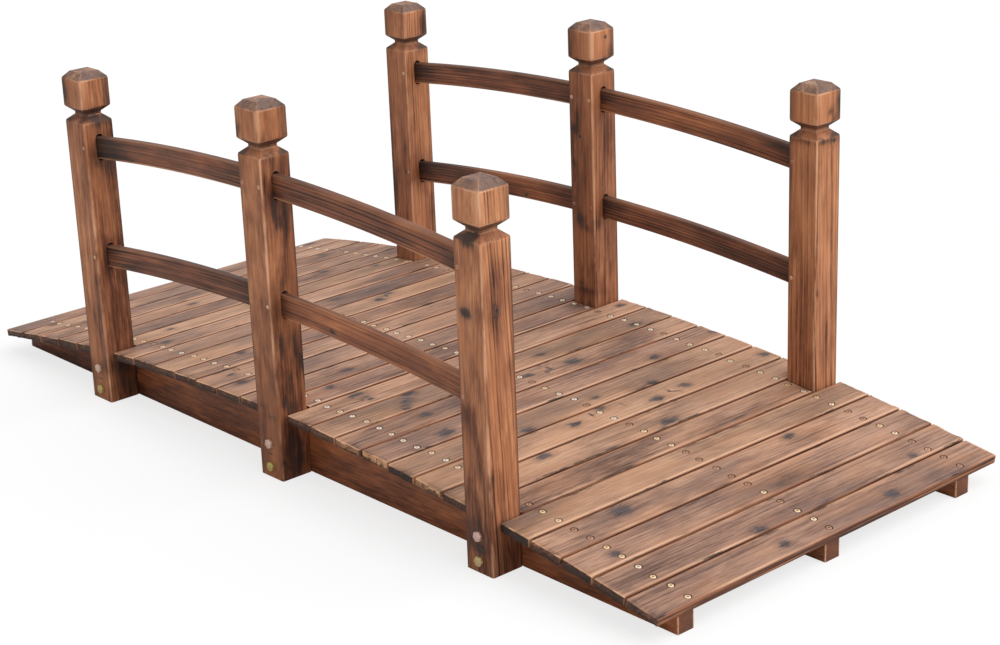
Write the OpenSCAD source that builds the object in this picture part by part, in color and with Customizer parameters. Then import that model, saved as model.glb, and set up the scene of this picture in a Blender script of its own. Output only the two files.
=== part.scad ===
// Small garden moon bridge in stained softwood.
// Three stringers with an arched top carry a deck of planks laid flat on the arch.
// Six posts are bolted to the outer stringers and carry two arched rails a side,
// whose ends sit in round ended mortises.
// X runs along the walkway, Y across it and Z up, in millimetres.
// The origin lies on the ground below the middle of the bridge.

/* [Arch] */
// Radius of the arched top of the stringers
arch_r = 4720; // [4200:10:7000]
// Height of a stringer at the middle of the bridge
stringer_mid_h = 87; // [84:1:130]
// Thickness of a stringer
stringer_t = 28; // [20:1:40]
// Width over the outer faces of the outer stringers
frame_w = 574; // [450:1:900]
// How far the end planks reach past the ends of the stringers
end_overhang = 4; // [0:1:15]

/* [Deck] */
// Width of a full plank
board_w = 54; // [45:1:65]
// Thickness of a plank
board_t = 12; // [9:1:18]
// Gap between neighbouring planks
board_gap = 2; // [1:0.1:5]
// Round of the upper long edges of a plank
board_edge_r = 1.5; // [0.5:0.1:2.5]
// Round of the four corners of a plank seen from above
board_corner_r = 4; // [1:0.5:8]
// Gap between the end of a short plank and the post beside it
board_end_gap = 0.5; // [0.3:0.1:3]
// How far the full planks lie off the middle, towards the right
deck_shift = 8; // [0:1:20]
// Full planks between neighbouring posts
bay_boards = 7; // [5:1:8]
// Full planks on each ramp beyond the end posts
ramp_boards = 5; // [3:1:6]

/* [Posts] */
// Side of a square post
post_w = 51; // [45:1:60]
// Gap between a post and the full plank beside it
post_gap = 2; // [1.5:0.1:5]
// Round of the upright edges of a post
post_edge_r = 3; // [1:0.5:5]
// Height from the top of the upper rail to the groove below the post head
shoulder_rise = 25; // [15:1:50]
// Height of the groove below the post head
groove_h = 23; // [16:1:30]
// Depth of the groove on each side of a post
groove_depth = 11.5; // [6:0.5:14]
// Height of the flat at the bottom of the groove
groove_floor_h = 3.5; // [1:0.5:8]
// Height of the upright sides of the post head
head_side_h = 42; // [30:1:60]
// Height of the sloped top of the post head
head_cap_h = 10.5; // [5:0.5:15]
// How far the sloped top draws in on each side
head_cap_inset = 10; // [5:0.5:15]

/* [Rails] */
// Radius of the arched upper edge of a rail
rail_arch_r = 3700; // [3300:10:7000]
// Height of the crown of the upper rails above the ground
upper_rail_z = 447.5; // [400:0.5:600]
// Height of the crown of the lower rails above the ground
lower_rail_z = 276; // [220:1:330]
// Height of a rail
rail_h = 34; // [26:1:40]
// Thickness of a rail
rail_t = 12; // [10:1:16]
// Round of the long edges of a rail
rail_edge_r = 2; // [2:0.1:3.5]
// Depth of a mortise, and length of rail held in it
mortise_depth = 14; // [10:1:18]
// Play between a rail and each side of its mortise
mortise_side_gap = 1; // [0.8:0.1:2]
// Play above and below a rail in its mortise
mortise_end_gap = 3.5; // [3.2:0.1:5]

/* [Bolts] */
// Diameter of the bolt holes through post and stringer
bolt_hole_d = 7; // [5:0.5:9]
// Height of the lower bolt hole above the ground
bolt_low_z = 17; // [12:1:22]
// Height of the upper bolt hole above the ground
bolt_high_z = 52; // [40:1:54]

/* [Hidden] */
// Places along the deck are measured as arc lengths on the top of the stringers
pitch = board_w + board_gap;
short_board_w = post_w + 2 * (post_gap - board_gap);
post_arc = short_board_w + board_gap + bay_boards * pitch;
deck_half_arc = post_arc + short_board_w / 2 + ramp_boards * pitch;
post_x = arch_r * sin(arc_angle(post_arc));
post_y = (frame_w + post_w) / 2;
stringer_half_l = arch_r * sin(arc_angle(deck_half_arc)) - end_overhang;
full_board_l = frame_w + 2 * post_w;
short_board_l = frame_w - 2 * board_end_gap;

// Planks are counted from the rear end of the bridge to the front end
side_boards = bay_boards + 1 + ramp_boards;
board_count = 2 * side_boards + 1;

rail_mid_r = rail_arch_r - rail_h / 2;
mortise_w = rail_t + 2 * mortise_side_gap;
mortise_h = rail_h + 2 * mortise_end_gap;

// Length added to a cut so that it runs clear of the surface it starts from
cut_clear = 1;
// Angle by which a rail is bent too long at each end, before it is cut
rail_spare_angle = 0.3;
large_arc_fn = 1440;
small_arc_fn = 32;
hole_fn = 48;

stringer_color = [0.42, 0.22, 0.14];
board_color = [0.62, 0.43, 0.33];
post_color = [0.60, 0.36, 0.24];
rail_color = [0.46, 0.27, 0.19];

board_names = [for (i = [1:board_count]) board_name(i)];
stringer_names = ["left_stringer", "middle_stringer", "right_stringer"];
post_names = [for (side = ["left", "right"]) for (place = ["rear", "middle", "front"])
    str(side, "_", place, "_post")];
rail_names = [for (side = ["left", "right"]) for (bay = ["rear", "front"]) for (level = ["upper", "lower"])
    str(side, "_", bay, "_", level, "_rail")];

// Angle in degrees that an arc length spans on the top of the stringers
function arc_angle(s) = s / arch_r * 180 / PI;

// Height of the upper edge of a rail with the given crown, at a distance from the middle
function rail_top(crown_z, x) = crown_z - rail_arch_r + sqrt(rail_arch_r * rail_arch_r - x * x);

function board_name(i) = str("deck_board_", i < 10 ? "0" : "", i);

// Steps of a plank from the middle plank, which is step 0
function board_step(i) = i - 1 - side_boards;

function is_short(step) = step == 0 || abs(step) == bay_boards + 1;

// Arc length from the middle to the centre of a plank, for a step from 0 up
function board_arc(step) =
    step == 0 ? 0 :
    step <= bay_boards ? short_board_w / 2 + board_gap + board_w / 2 + (step - 1) * pitch :
    step == bay_boards + 1 ? post_arc :
    post_arc + short_board_w / 2 + board_gap + board_w / 2 + (step - bay_boards - 2) * pitch;

// Rectangle about its centre with four round corners
module rounded_rectangle(w, h, r, fn) {
    square([w - 2 * r, h], center = true);
    square([w, h - 2 * r], center = true);
    for (x = [-1, 1])
        for (y = [-1, 1])
            translate([x * (w / 2 - r), y * (h / 2 - r)])
                circle(r = r, $fn = fn);
}

// Side view of a stringer: flat on the ground, arched on top, cut upright at both ends
module stringer_outline() {
    intersection() {
        translate([-stringer_half_l, 0])
            square([2 * stringer_half_l, stringer_mid_h]);
        translate([0, stringer_mid_h - arch_r])
            circle(r = arch_r, $fn = large_arc_fn);
    }
}

// Bolt holes of the post at x, running across the bridge from one y to another
module bolt_holes(x, y_from, y_to) {
    for (z = [bolt_low_z, bolt_high_z])
        translate([x, y_to + cut_clear, z])
            rotate([90, 0, 0])
                cylinder(d = bolt_hole_d, h = y_to - y_from + 2 * cut_clear, $fn = hole_fn);
}

// A stringer with its middle plane at y, drilled where posts are bolted to it
module stringer(y, drilled) {
    color(stringer_color)
        difference() {
            translate([0, y + stringer_t / 2, 0])
                rotate([90, 0, 0])
                    linear_extrude(stringer_t)
                        stringer_outline();
            if (drilled)
                for (x = [-post_x, 0, post_x])
                    bolt_holes(x, y - stringer_t / 2, y + stringer_t / 2);
        }
}

module left_stringer() {
    stringer((stringer_t - frame_w) / 2, true);
}

module middle_stringer() {
    stringer(0, false);
}

module right_stringer() {
    stringer((frame_w - stringer_t) / 2, true);
}

// Section of a plank: flat below, with its two upper edges rounded
module board_section(w) {
    difference() {
        translate([-w / 2, 0])
            square([w, board_t]);
        for (side = [-1, 1])
            translate([side * (w / 2 - board_edge_r), board_t - board_edge_r])
                difference() {
                    translate([side < 0 ? -board_edge_r - cut_clear : 0, 0])
                        square(board_edge_r + cut_clear);
                    circle(r = board_edge_r, $fn = small_arc_fn);
                }
    }
}

// A plank lying on the plane z = 0 with its length along y
module flat_board(w, l) {
    intersection() {
        translate([0, l / 2, 0])
            rotate([90, 0, 0])
                linear_extrude(l)
                    board_section(w);
        linear_extrude(board_t)
            rounded_rectangle(w, l, board_corner_r, small_arc_fn);
    }
}

// Plank number i, laid on the arch so that its underside touches the stringers
module deck_board(i) {
    step = board_step(i);
    angle = sign(step) * arc_angle(board_arc(abs(step)));
    color(board_color)
        translate([0, 0, stringer_mid_h - arch_r])
            rotate([0, angle, 0])
                translate([0, 0, arch_r])
                    if (is_short(step))
                        flat_board(short_board_w, short_board_l);
                    else
                        translate([0, deck_shift, 0])
                            flat_board(board_w, full_board_l);
}

// Cut profile of the groove below the head: x runs into the post from its face, y up
module groove_outline() {
    slope_h = (groove_h - groove_floor_h) / 2;
    polygon([
        [-cut_clear, 0],
        [0, 0],
        [groove_depth, slope_h],
        [groove_depth, slope_h + groove_floor_h],
        [0, groove_h],
        [-cut_clear, groove_h]
    ]);
}

// Cut profile of the sloped top: x runs into the post from its face, y up
module cap_outline() {
    polygon([
        [-cut_clear, 0],
        [0, 0],
        [head_cap_inset, head_cap_h],
        [head_cap_inset, head_cap_h + cut_clear],
        [-cut_clear, head_cap_h + cut_clear]
    ]);
}

// Runs a cut profile along all four faces of a post
module around_post() {
    for (turn = [0:90:270])
        rotate([0, 0, turn])
            translate([-post_w / 2, post_w / 2 + cut_clear, 0])
                rotate([90, 0, 0])
                    linear_extrude(post_w + 2 * cut_clear)
                        children();
}

// Round ended mortise in the face of a post that looks along +X or -X
module mortise(side, crown_z, x_post) {
    face = side * post_w / 2;
    center_z = rail_top(crown_z, x_post + face) - rail_h / 2;
    translate([face + side * cut_clear, 0, center_z])
        rotate([0, -90 * side, 0])
            linear_extrude(mortise_depth + cut_clear) {
                square([mortise_h - mortise_w, mortise_w], center = true);
                for (end = [-1, 1])
                    translate([end * (mortise_h - mortise_w) / 2, 0])
                        circle(d = mortise_w, $fn = hole_fn);
            }
}

// A post at x_post on one side of the bridge, with mortises in the faces listed
module post(side_y, x_post, rail_faces) {
    shoulder_z = rail_top(upper_rail_z, x_post) + shoulder_rise;
    head_z = shoulder_z + groove_h;
    cap_z = head_z + head_side_h;
    post_h = cap_z + head_cap_h;
    color(post_color)
        difference() {
            translate([x_post, side_y * post_y, 0])
                difference() {
                    linear_extrude(post_h)
                        rounded_rectangle(post_w, post_w, post_edge_r, small_arc_fn);
                    translate([0, 0, shoulder_z])
                        around_post()
                            groove_outline();
                    translate([0, 0, cap_z])
                        around_post()
                            cap_outline();
                    for (side = rail_faces)
                        for (crown_z = [upper_rail_z, lower_rail_z])
                            mortise(side, crown_z, x_post);
                }
            bolt_holes(x_post, side_y * post_y - post_w / 2, side_y * post_y + post_w / 2);
        }
}

module rear_post(side_y) {
    post(side_y, -post_x, [1]);
}

module middle_post(side_y) {
    post(side_y, 0, [-1, 1]);
}

module front_post(side_y) {
    post(side_y, post_x, [-1]);
}

// A rail of the bay behind the middle posts, bent to the arch and cut upright where its
// ends meet the floors of the mortises
module bent_rail(crown_z) {
    x_near = post_w / 2 - mortise_depth;
    x_far = post_x - post_w / 2 + mortise_depth;
    near_angle = asin(x_near / rail_mid_r) - rail_spare_angle;
    far_angle = asin(x_far / rail_mid_r) + rail_spare_angle;
    intersection() {
        translate([0, 0, crown_z - rail_arch_r])
            rotate([90, 0, 0])
                rotate([0, 0, 90 + near_angle])
                    rotate_extrude(angle = far_angle - near_angle, $fn = large_arc_fn)
                        translate([rail_mid_r, 0])
                            rounded_rectangle(rail_h, rail_t, rail_edge_r, small_arc_fn);
        translate([-x_far, -rail_t, 0])
            cube([x_far - x_near, 2 * rail_t, crown_z + rail_h]);
    }
}

// The rails of the two bays are alike, turned half round
module rail(side_y, turn, crown_z) {
    color(rail_color)
        translate([0, side_y * post_y, 0])
            rotate([0, 0, turn])
                bent_rail(crown_z);
}

left_stringer();
middle_stringer();
right_stringer();
rear_post(-1);  // left_rear_post
middle_post(-1);  // left_middle_post
front_post(-1);  // left_front_post
rear_post(1);  // right_rear_post
middle_post(1);  // right_middle_post
front_post(1);  // right_front_post
rail(-1, 0, upper_rail_z);  // left_rear_upper_rail
rail(-1, 0, lower_rail_z);  // left_rear_lower_rail
rail(-1, 180, upper_rail_z);  // left_front_upper_rail
rail(-1, 180, lower_rail_z);  // left_front_lower_rail
rail(1, 0, upper_rail_z);  // right_rear_upper_rail
rail(1, 0, lower_rail_z);  // right_rear_lower_rail
rail(1, 180, upper_rail_z);  // right_front_upper_rail
rail(1, 180, lower_rail_z);  // right_front_lower_rail
for (i = [1:board_count])
    deck_board(i);
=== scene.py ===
# %% [markdown]
# # A small moon bridge in scorched and stained fir
#
# The bridge stands free on the ground. Three stringers with an arched top carry a deck of
# planks. Six posts are bolted to the outer stringers, and two arched rails a side sit in
# round ended mortises in the posts.
#
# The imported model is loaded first. It fixes where every piece is and how large it is, so
# that the pieces made here only add what a solid model leaves out: eased edges, sawn ends,
# screws, bolts and the surface of the wood.

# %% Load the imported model
import math
import random
from contextlib import contextmanager
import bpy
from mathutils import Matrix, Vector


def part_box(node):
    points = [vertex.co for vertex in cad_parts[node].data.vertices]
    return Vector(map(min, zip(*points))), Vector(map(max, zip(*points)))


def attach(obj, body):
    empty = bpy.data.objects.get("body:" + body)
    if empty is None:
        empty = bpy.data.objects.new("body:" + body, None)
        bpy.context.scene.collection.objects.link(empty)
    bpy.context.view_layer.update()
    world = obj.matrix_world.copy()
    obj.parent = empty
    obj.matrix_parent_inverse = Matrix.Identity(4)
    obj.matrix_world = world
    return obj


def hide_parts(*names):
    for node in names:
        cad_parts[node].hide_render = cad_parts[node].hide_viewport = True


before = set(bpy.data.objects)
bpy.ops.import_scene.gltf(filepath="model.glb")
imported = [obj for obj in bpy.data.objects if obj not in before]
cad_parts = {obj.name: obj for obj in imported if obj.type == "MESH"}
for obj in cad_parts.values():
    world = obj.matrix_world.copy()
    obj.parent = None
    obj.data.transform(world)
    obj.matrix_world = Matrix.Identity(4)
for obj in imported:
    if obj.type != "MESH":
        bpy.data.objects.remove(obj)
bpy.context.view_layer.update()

from types import SimpleNamespace

import bmesh
import bpy
from mathutils import Matrix, Vector

ROOT = "root"
print("nodes in the frame:", len(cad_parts))

# %% [markdown]
# ## Sizes
#
# All lengths are in metres. X runs along the walkway, Y across it and Z up. The sizes that
# belong to one kind of timber are named here once. Where a piece stands comes from the box
# of its node, so that a longer or wider bridge needs few changes. The heights on a post are
# measured down from its top, as they would be marked out.

# %% Timber sizes
MM = 0.001
ARCH_RADIUS = 4.720
STRINGER_THICKNESS = 28 * MM
BOARD_WIDTH = 54 * MM
BOARD_THICKNESS = 12 * MM
POST_WIDTH = 51 * MM
GROOVE_HEIGHT = 23 * MM
GROOVE_DEPTH = 11.5 * MM
GROOVE_FLOOR = 3.5 * MM
HEAD_SIDE = 42 * MM
HEAD_CAP = 10.5 * MM
HEAD_INSET = 10 * MM
GROOVE_SLOPE = (GROOVE_HEIGHT - GROOVE_FLOOR) / 2
GROOVE_TOP = HEAD_CAP + HEAD_SIDE
FLOOR_START = GROOVE_TOP + GROOVE_SLOPE
NECK_END = FLOOR_START + GROOVE_FLOOR
GROOVE_END = GROOVE_TOP + GROOVE_HEIGHT
RAIL_RADIUS = 3.700
RAIL_HEIGHT = 34 * MM
RAIL_THICKNESS = 12 * MM
MORTISE_DEPTH = 14 * MM
MORTISE_SIDE_GAP = 1 * MM
MORTISE_END_GAP = 3.5 * MM
BOLT_HEIGHTS = (17 * MM, 52 * MM)

stringer_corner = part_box("middle_stringer")[1]
STRINGER_HEIGHT = stringer_corner.z
STRINGER_HALF = stringer_corner.x
OUTER_FACE = -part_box("left_stringer")[0].y
STRINGER_LINES = {
    "left": STRINGER_THICKNESS / 2 - OUTER_FACE,
    "middle": 0.0,
    "right": OUTER_FACE - STRINGER_THICKNESS / 2,
}
deck_nodes = sorted(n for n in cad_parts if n.startswith("deck_board_"))
post_nodes = sorted(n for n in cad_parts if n.endswith("_post"))
rail_nodes = sorted(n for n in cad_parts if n.endswith("_rail"))
print(f"{len(deck_nodes)} planks, {len(post_nodes)} posts, {len(rail_nodes)} rails")

# %% [markdown]
# ## Working on a piece by rule
#
# By hand, a modeller clicks the faces that an operator should act on. A script has to say
# which ones it means, and the clearest way is a rule on their place or direction. Everything
# is deselected first, because an operator acts on all that is selected.

# %% Helpers for selecting
# A length too small to see, which tells whether a vertex is on an edge.
HAIR = 0.01 * MM
# How nearly an edge or a face has to point along an axis to count.
PARALLEL = 0.999
FACING = 0.9


def only(piece):
    bpy.ops.object.select_all(action="DESELECT")
    piece.select_set(True)
    bpy.context.view_layer.objects.active = piece
    return piece


@contextmanager
def editing(piece):
    """Keeps a piece in edit mode for as long as the block under it lasts."""
    only(piece)
    bpy.ops.object.mode_set(mode="EDIT")
    yield
    bpy.ops.object.mode_set(mode="OBJECT")


def pick(piece, kind, rule):
    """In edit mode, selects the vertices, edges or faces for which the rule holds."""
    bpy.ops.mesh.select_mode(type=kind)
    bpy.ops.mesh.select_all(action="DESELECT")
    mesh = bmesh.from_edit_mesh(piece.data)
    for part in {"VERT": mesh.verts, "EDGE": mesh.edges, "FACE": mesh.faces}[kind]:
        if rule(part):
            part.select_set(True)
    mesh.select_flush_mode()
    bmesh.update_edit_mesh(piece.data)


def runs_along(axis):
    """A rule that holds for edges parallel to an axis, given as 0, 1 or 2."""

    def rule(edge):
        step = edge.verts[1].co - edge.verts[0].co
        return step.length > 0 and abs(step[axis]) > PARALLEL * step.length

    return rule


def at_corners(half_x, half_y):
    """A rule that holds for the upright edges at the four corners of a stick."""

    def rule(edge):
        return runs_along(2)(edge) and all(
            abs(v.co.x) > half_x - HAIR and abs(v.co.y) > half_y - HAIR for v in edge.verts)

    return rule


# %% [markdown]
# A piece keeps its place in its mesh and its object at the origin. So a primitive's place is
# applied as soon as it is added, and so is every modifier.

# %% Helpers for starting a piece


def add_modifier(piece, kind, **settings):
    modifier = piece.modifiers.new(kind.title(), kind)
    for name, value in settings.items():
        setattr(modifier, name, value)


def apply_modifiers(piece):
    only(piece)
    for modifier in list(piece.modifiers):
        bpy.ops.object.modifier_apply(modifier=modifier.name)
    return piece


def apply_place(piece):
    """Moves the object's place into its mesh, so that the object sits at the origin."""
    only(piece)
    bpy.ops.object.transform_apply(location=True, rotation=True, scale=True)
    return piece


def started(name, add, scale=(1, 1, 1), **settings):
    """Adds a primitive to start a piece from, with its size and place already in its mesh."""
    bpy.ops.object.select_all(action="DESELECT")
    add(**settings)
    piece = bpy.context.object
    piece.name = name
    piece.scale = scale
    return apply_place(piece)


def block(name, size, centre=(0, 0, 0)):
    return started(name, bpy.ops.mesh.primitive_cube_add, size, size=1, location=centre)


def rod(name, sides, radius, length, centre, turn=(0, 0, 0)):
    return started(name, bpy.ops.mesh.primitive_cylinder_add, vertices=sides, radius=radius,
                   depth=length, location=centre, rotation=turn)


# %% [markdown]
# A few moves come back in every piece: divide it, ease its sharp edges, cut a shape out of
# it, copy it. Each becomes a function with a workshop name.

# %% Helpers for shaping


def cut_across(piece, axis, cuts):
    """In edit mode, divides the edges that run along an axis."""
    pick(piece, "EDGE", runs_along(axis))
    bpy.ops.mesh.subdivide(number_cuts=cuts)


def ease_edges(piece, width, segments, sharper_than):
    """Rounds the edges that are sharper than an angle, after any other modifier has had its turn."""
    add_modifier(piece, "BEVEL", width=width, segments=segments, limit_method="ANGLE",
                 angle_limit=math.radians(sharper_than))
    return apply_modifiers(piece)


def smooth(piece, degrees=30):
    only(piece)
    bpy.ops.object.shade_smooth_by_angle(angle=math.radians(degrees))
    return piece


def remove(piece):
    bpy.data.objects.remove(piece)


def cut_away(piece, cutter):
    """Takes the cutter's shape out of a piece and removes the cutter."""
    add_modifier(piece, "BOOLEAN", object=cutter, operation="DIFFERENCE", solver="EXACT")
    apply_modifiers(piece)
    remove(cutter)


def copy_of(piece, name):
    twin = piece.copy()
    twin.data = piece.data.copy()
    twin.name = name
    twin.data.name = name
    bpy.context.scene.collection.objects.link(twin)
    return twin


def faces(piece):
    return len(piece.data.polygons)


# %% [markdown]
# ## Telling each piece where its wood came from
#
# Wood has its pattern all through it: the rings that make flames on a face come out as arcs
# on the sawn end. A flat picture can't do that, but a pattern computed from three
# coordinates can. Each piece therefore carries its own coordinates as mesh attributes, which
# stay with it when it is turned into place:
#
# - `grain` is the place in the log: across, along and through, with the heart of the log
#   somewhere to one side.
# - `place` is measured from the middle of the piece and `half` is half its size. Between them
#   they tell how far the nearest faces are, for worn edges and sawn ends.
# - `spot` points from the nearest knot, in knot radii, and `spot_far` is how far that is.
# - `tone` is one number for the whole piece, because no two boards take the stain alike.
# - `figure` is how boldly its rings show.
# - `scorch` is how long the torch stayed at a place, from 0 to about 1, with the
#   posts' feet darkened by painted shade.
# - `pit` is 1 on the floor of a screw's crater or in the recess of its head, the places where
#   shade is painted in.
# - `sawn` is how light the sawn ends of a plank are, and `edge_burn` how dark its long
#   edges are.

# %% Attributes
FAR = 9.0
BRANCH = 0.3
ACROSS = 0
THROUGH = 2


def store(piece, name, values):
    """Stores a number or a vector for each vertex. One alone goes to all of them."""
    if not isinstance(values, list):
        values = [values] * len(piece.data.vertices)
    if isinstance(values[0], tuple):
        stored = piece.data.attributes.new(name, "FLOAT_VECTOR", "POINT")
        stored.data.foreach_set("vector", [number for value in values for number in value])
    else:
        stored = piece.data.attributes.new(name, "FLOAT", "POINT")
        stored.data.foreach_set("value", values)


def knot_offset(place, knots):
    """From the nearest knot to a place, in units of that knot's radius."""
    best = Vector((FAR, 0, 0))
    for across, along, through, radius, stretch, axis in knots:
        offset = Vector((place[0] - across, (place[1] - along) / stretch, place[2] - through)) / radius
        offset[axis] *= BRANCH
        if offset.length < best.length:
            best = offset
    return best


def burnt_and_shaded(place, burns_and_shade):
    """What the torch left at a place, with the painted shade at the posts' feet, summed over its soft spots.
    Those of a brush are below 0.
    """
    total = 0.0
    for across, along, through, half_width, half_length, strength in burns_and_shade:
        far = ((place[0] - across) / half_width) ** 2 + ((place[1] - along) / half_length) ** 2
        far += ((place[2] - through) / half_width) ** 2
        total += strength * math.exp(-far)
    return total


def dress(piece, local, half, heart, lean, tone, knots=(), burns_and_shade=(), start=0.0, figure=1.0):
    """Stores a piece's wood coordinates.

    local(co) gives (across, along, through) for a vertex, and half the piece's half sizes
    the same way. Along is stored from start on. heart is the log's middle and lean how it
    drifts for each metre along. A knot is (across, along, through, radius, stretch, axis),
    where axis is the way that the branch ran, 0 for across or 2 for through. Burns and spots of
    painted shade are each given as (across, along, through, half width, half length, strength).
    figure is how boldly the rings show."""
    places = [local(vertex.co) for vertex in piece.data.vertices]
    grain = [(across - heart[0] - lean[0] * along, along, through - heart[1] - lean[1] * along)
             for across, along, through in places]
    offsets = [knot_offset(place, knots) for place in places]
    store(piece, "grain", grain)
    store(piece, "place", [(across, along - start, through) for across, along, through in places])
    store(piece, "half", half)
    store(piece, "spot", [tuple(offset) for offset in offsets])
    store(piece, "spot_far", [offset.length for offset in offsets])
    store(piece, "scorch", [burnt_and_shaded(place, burns_and_shade) for place in places])
    store(piece, "tone", tone)
    store(piece, "figure", figure)


# %% [markdown]
# ## Writing a material as arithmetic
#
# A node tree is arithmetic drawn as boxes. Wrapping a socket in a small class lets the
# script write it as arithmetic again: `1 - mask` adds the Math node that it stands for.
# Numbers alone are worked out in Python and cost no node.

# %% The class that wraps a socket


class Wire:
    """The output of a node. Its operators add Math nodes to the same tree."""

    def __init__(self, tree, socket):
        self.tree = tree
        self.socket = socket

    def math(self, operation, *values):
        return add_node(self.tree, "ShaderNodeMath", {"operation": operation}, dict(enumerate(values)))

    def __add__(self, other):
        return self.math("ADD", self, other)

    def __radd__(self, other):
        return self.math("ADD", other, self)

    def __sub__(self, other):
        return self.math("SUBTRACT", self, other)

    def __rsub__(self, other):
        return self.math("SUBTRACT", other, self)

    def __mul__(self, other):
        return self.math("MULTIPLY", self, other)

    def __rmul__(self, other):
        return self.math("MULTIPLY", other, self)

    def __truediv__(self, other):
        return self.math("DIVIDE", self, other)

    def __rtruediv__(self, other):
        return self.math("DIVIDE", other, self)

    def __pow__(self, other):
        return self.math("POWER", self, other)

    def most(self, other):
        return self.math("MAXIMUM", self, other)

    def least(self, other):
        return self.math("MINIMUM", self, other)

    def size(self):
        return self.math("ABSOLUTE", self)

    def fraction(self):
        return self.math("FRACT", self)

    def step(self, low, high):
        """Goes smoothly from 0 at low to 1 at high; low may be the larger one."""
        return add_node(self.tree, "ShaderNodeMapRange", {"interpolation_type": "SMOOTHSTEP"},
                        {0: self, 1: low, 2: high, 3: 0.0, 4: 1.0})


# %% [markdown]
# All other nodes come from one function. It sets a node up before it feeds its sockets,
# because some settings change which sockets there are.

# %% Any other node


def add_node(tree, kind, settings, inputs, output=0):
    """Adds a node, sets it up, feeds its sockets with values or wires and gives one output."""
    node = tree.nodes.new(kind)
    for name, value in settings.items():
        if name == "stops":
            set_stops(node.color_ramp, value)
        else:
            setattr(node, name, value)
    for name, value in inputs.items():
        if isinstance(value, Wire):
            tree.links.new(value.socket, node.inputs[name])
        else:
            node.inputs[name].default_value = value
    return Wire(tree, node.outputs[output])


def set_stops(ramp, stops):
    while len(ramp.elements) < len(stops):
        ramp.elements.new(1.0)
    for element, (position, color) in zip(ramp.elements, stops):
        element.position = position
        element.color = color


# %% [markdown]
# A recipe for a stain says blend, noise or ladder, and not which socket of which node takes
# the colour. So each kind of node that the finishes use gets a function with a short name.

# %% Short names for nodes


def attribute(tree, name, output="Vector"):
    return add_node(tree, "ShaderNodeAttribute", {"attribute_name": name}, {}, output)


def parts_of(tree, vector):
    return [add_node(tree, "ShaderNodeSeparateXYZ", {}, {0: vector}, i) for i in range(3)]


def vector_of(tree, x, y, z):
    return add_node(tree, "ShaderNodeCombineXYZ", {}, {0: x, 1: y, 2: z})


def vector_math(tree, operation, first, second, output=0):
    return add_node(tree, "ShaderNodeVectorMath", {"operation": operation}, {0: first, 1: second}, output)


def rim_of(tree):
    """The distances to the nearest of each pair of faces: across, along and through."""
    size = vector_math(tree, "ABSOLUTE", attribute(tree, "place"), (0, 0, 0))
    return parts_of(tree, vector_math(tree, "SUBTRACT", attribute(tree, "half"), size))


def noise(tree, place, across, along, detail=2.0, roughness=0.5, offset=0.0):
    """Noise that changes so many times a metre across the grain and along it."""
    stretched = vector_math(tree, "MULTIPLY", place, (across, along, across))
    shifted = vector_math(tree, "ADD", stretched, (offset, offset, offset))
    return add_node(tree, "ShaderNodeTexNoise", {},
                    {"Vector": shifted, "Scale": 1.0, "Detail": detail, "Roughness": roughness})


def blend(tree, factor, first, second):
    return add_node(tree, "ShaderNodeMix", {"data_type": "RGBA"}, {0: factor, 6: first, 7: second}, 2)


def ladder(tree, level, *stops):
    return add_node(tree, "ShaderNodeValToRGB", {"stops": stops}, {0: level})


# %% [markdown]
# Colours are written as they look on a screen, and each material ends in one shader.

# %% Colours and the two ends of a material


def linear(channel):
    share = channel / 255
    return share / 12.92 if share <= 0.04045 else ((share + 0.055) / 1.055) ** 2.4


def tint(red, green, blue):
    """A colour as seen on a screen, 0 to 255, turned into the renderer's linear values."""
    return (linear(red), linear(green), linear(blue), 1.0)


def new_material(name):
    material = bpy.data.materials.new(name)
    material.use_nodes = True
    material.node_tree.nodes.clear()
    return material, material.node_tree


def end_tree(tree, shader, kind="ShaderNodeOutputMaterial"):
    output = tree.nodes.new(kind)
    tree.links.new(shader.socket, output.inputs["Surface"])


def close_material(tree, **sockets):
    """Ends a tree in one Principled shader. Underscores in a name stand for spaces."""
    inputs = {name.replace("_", " "): value for name, value in sockets.items()}
    end_tree(tree, add_node(tree, "ShaderNodeBsdfPrincipled", {}, inputs))


# %% [markdown]
# ## The wood
#
# The real timber is fir. It is scorched, brushed so that the soft early wood wears away, and
# then stained brown. That leaves dark narrow lines of late wood, fine fibres, grey to purple
# patches where the scorch went deep, pale edges where the brush went through the stain, and
# blue-grey knots. The ring pattern is the distance from the heart of the log, bent a little
# by noise and pushed aside round knots.
#
# All of these darken the wood by the same process, so they are added up into one number, how
# burnt a place is, and a ladder of colours turns that number into a stain.

# %% The pattern that all timbers share
KNOT_PUSH = 4.5 * MM
DULL = 0.3


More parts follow.
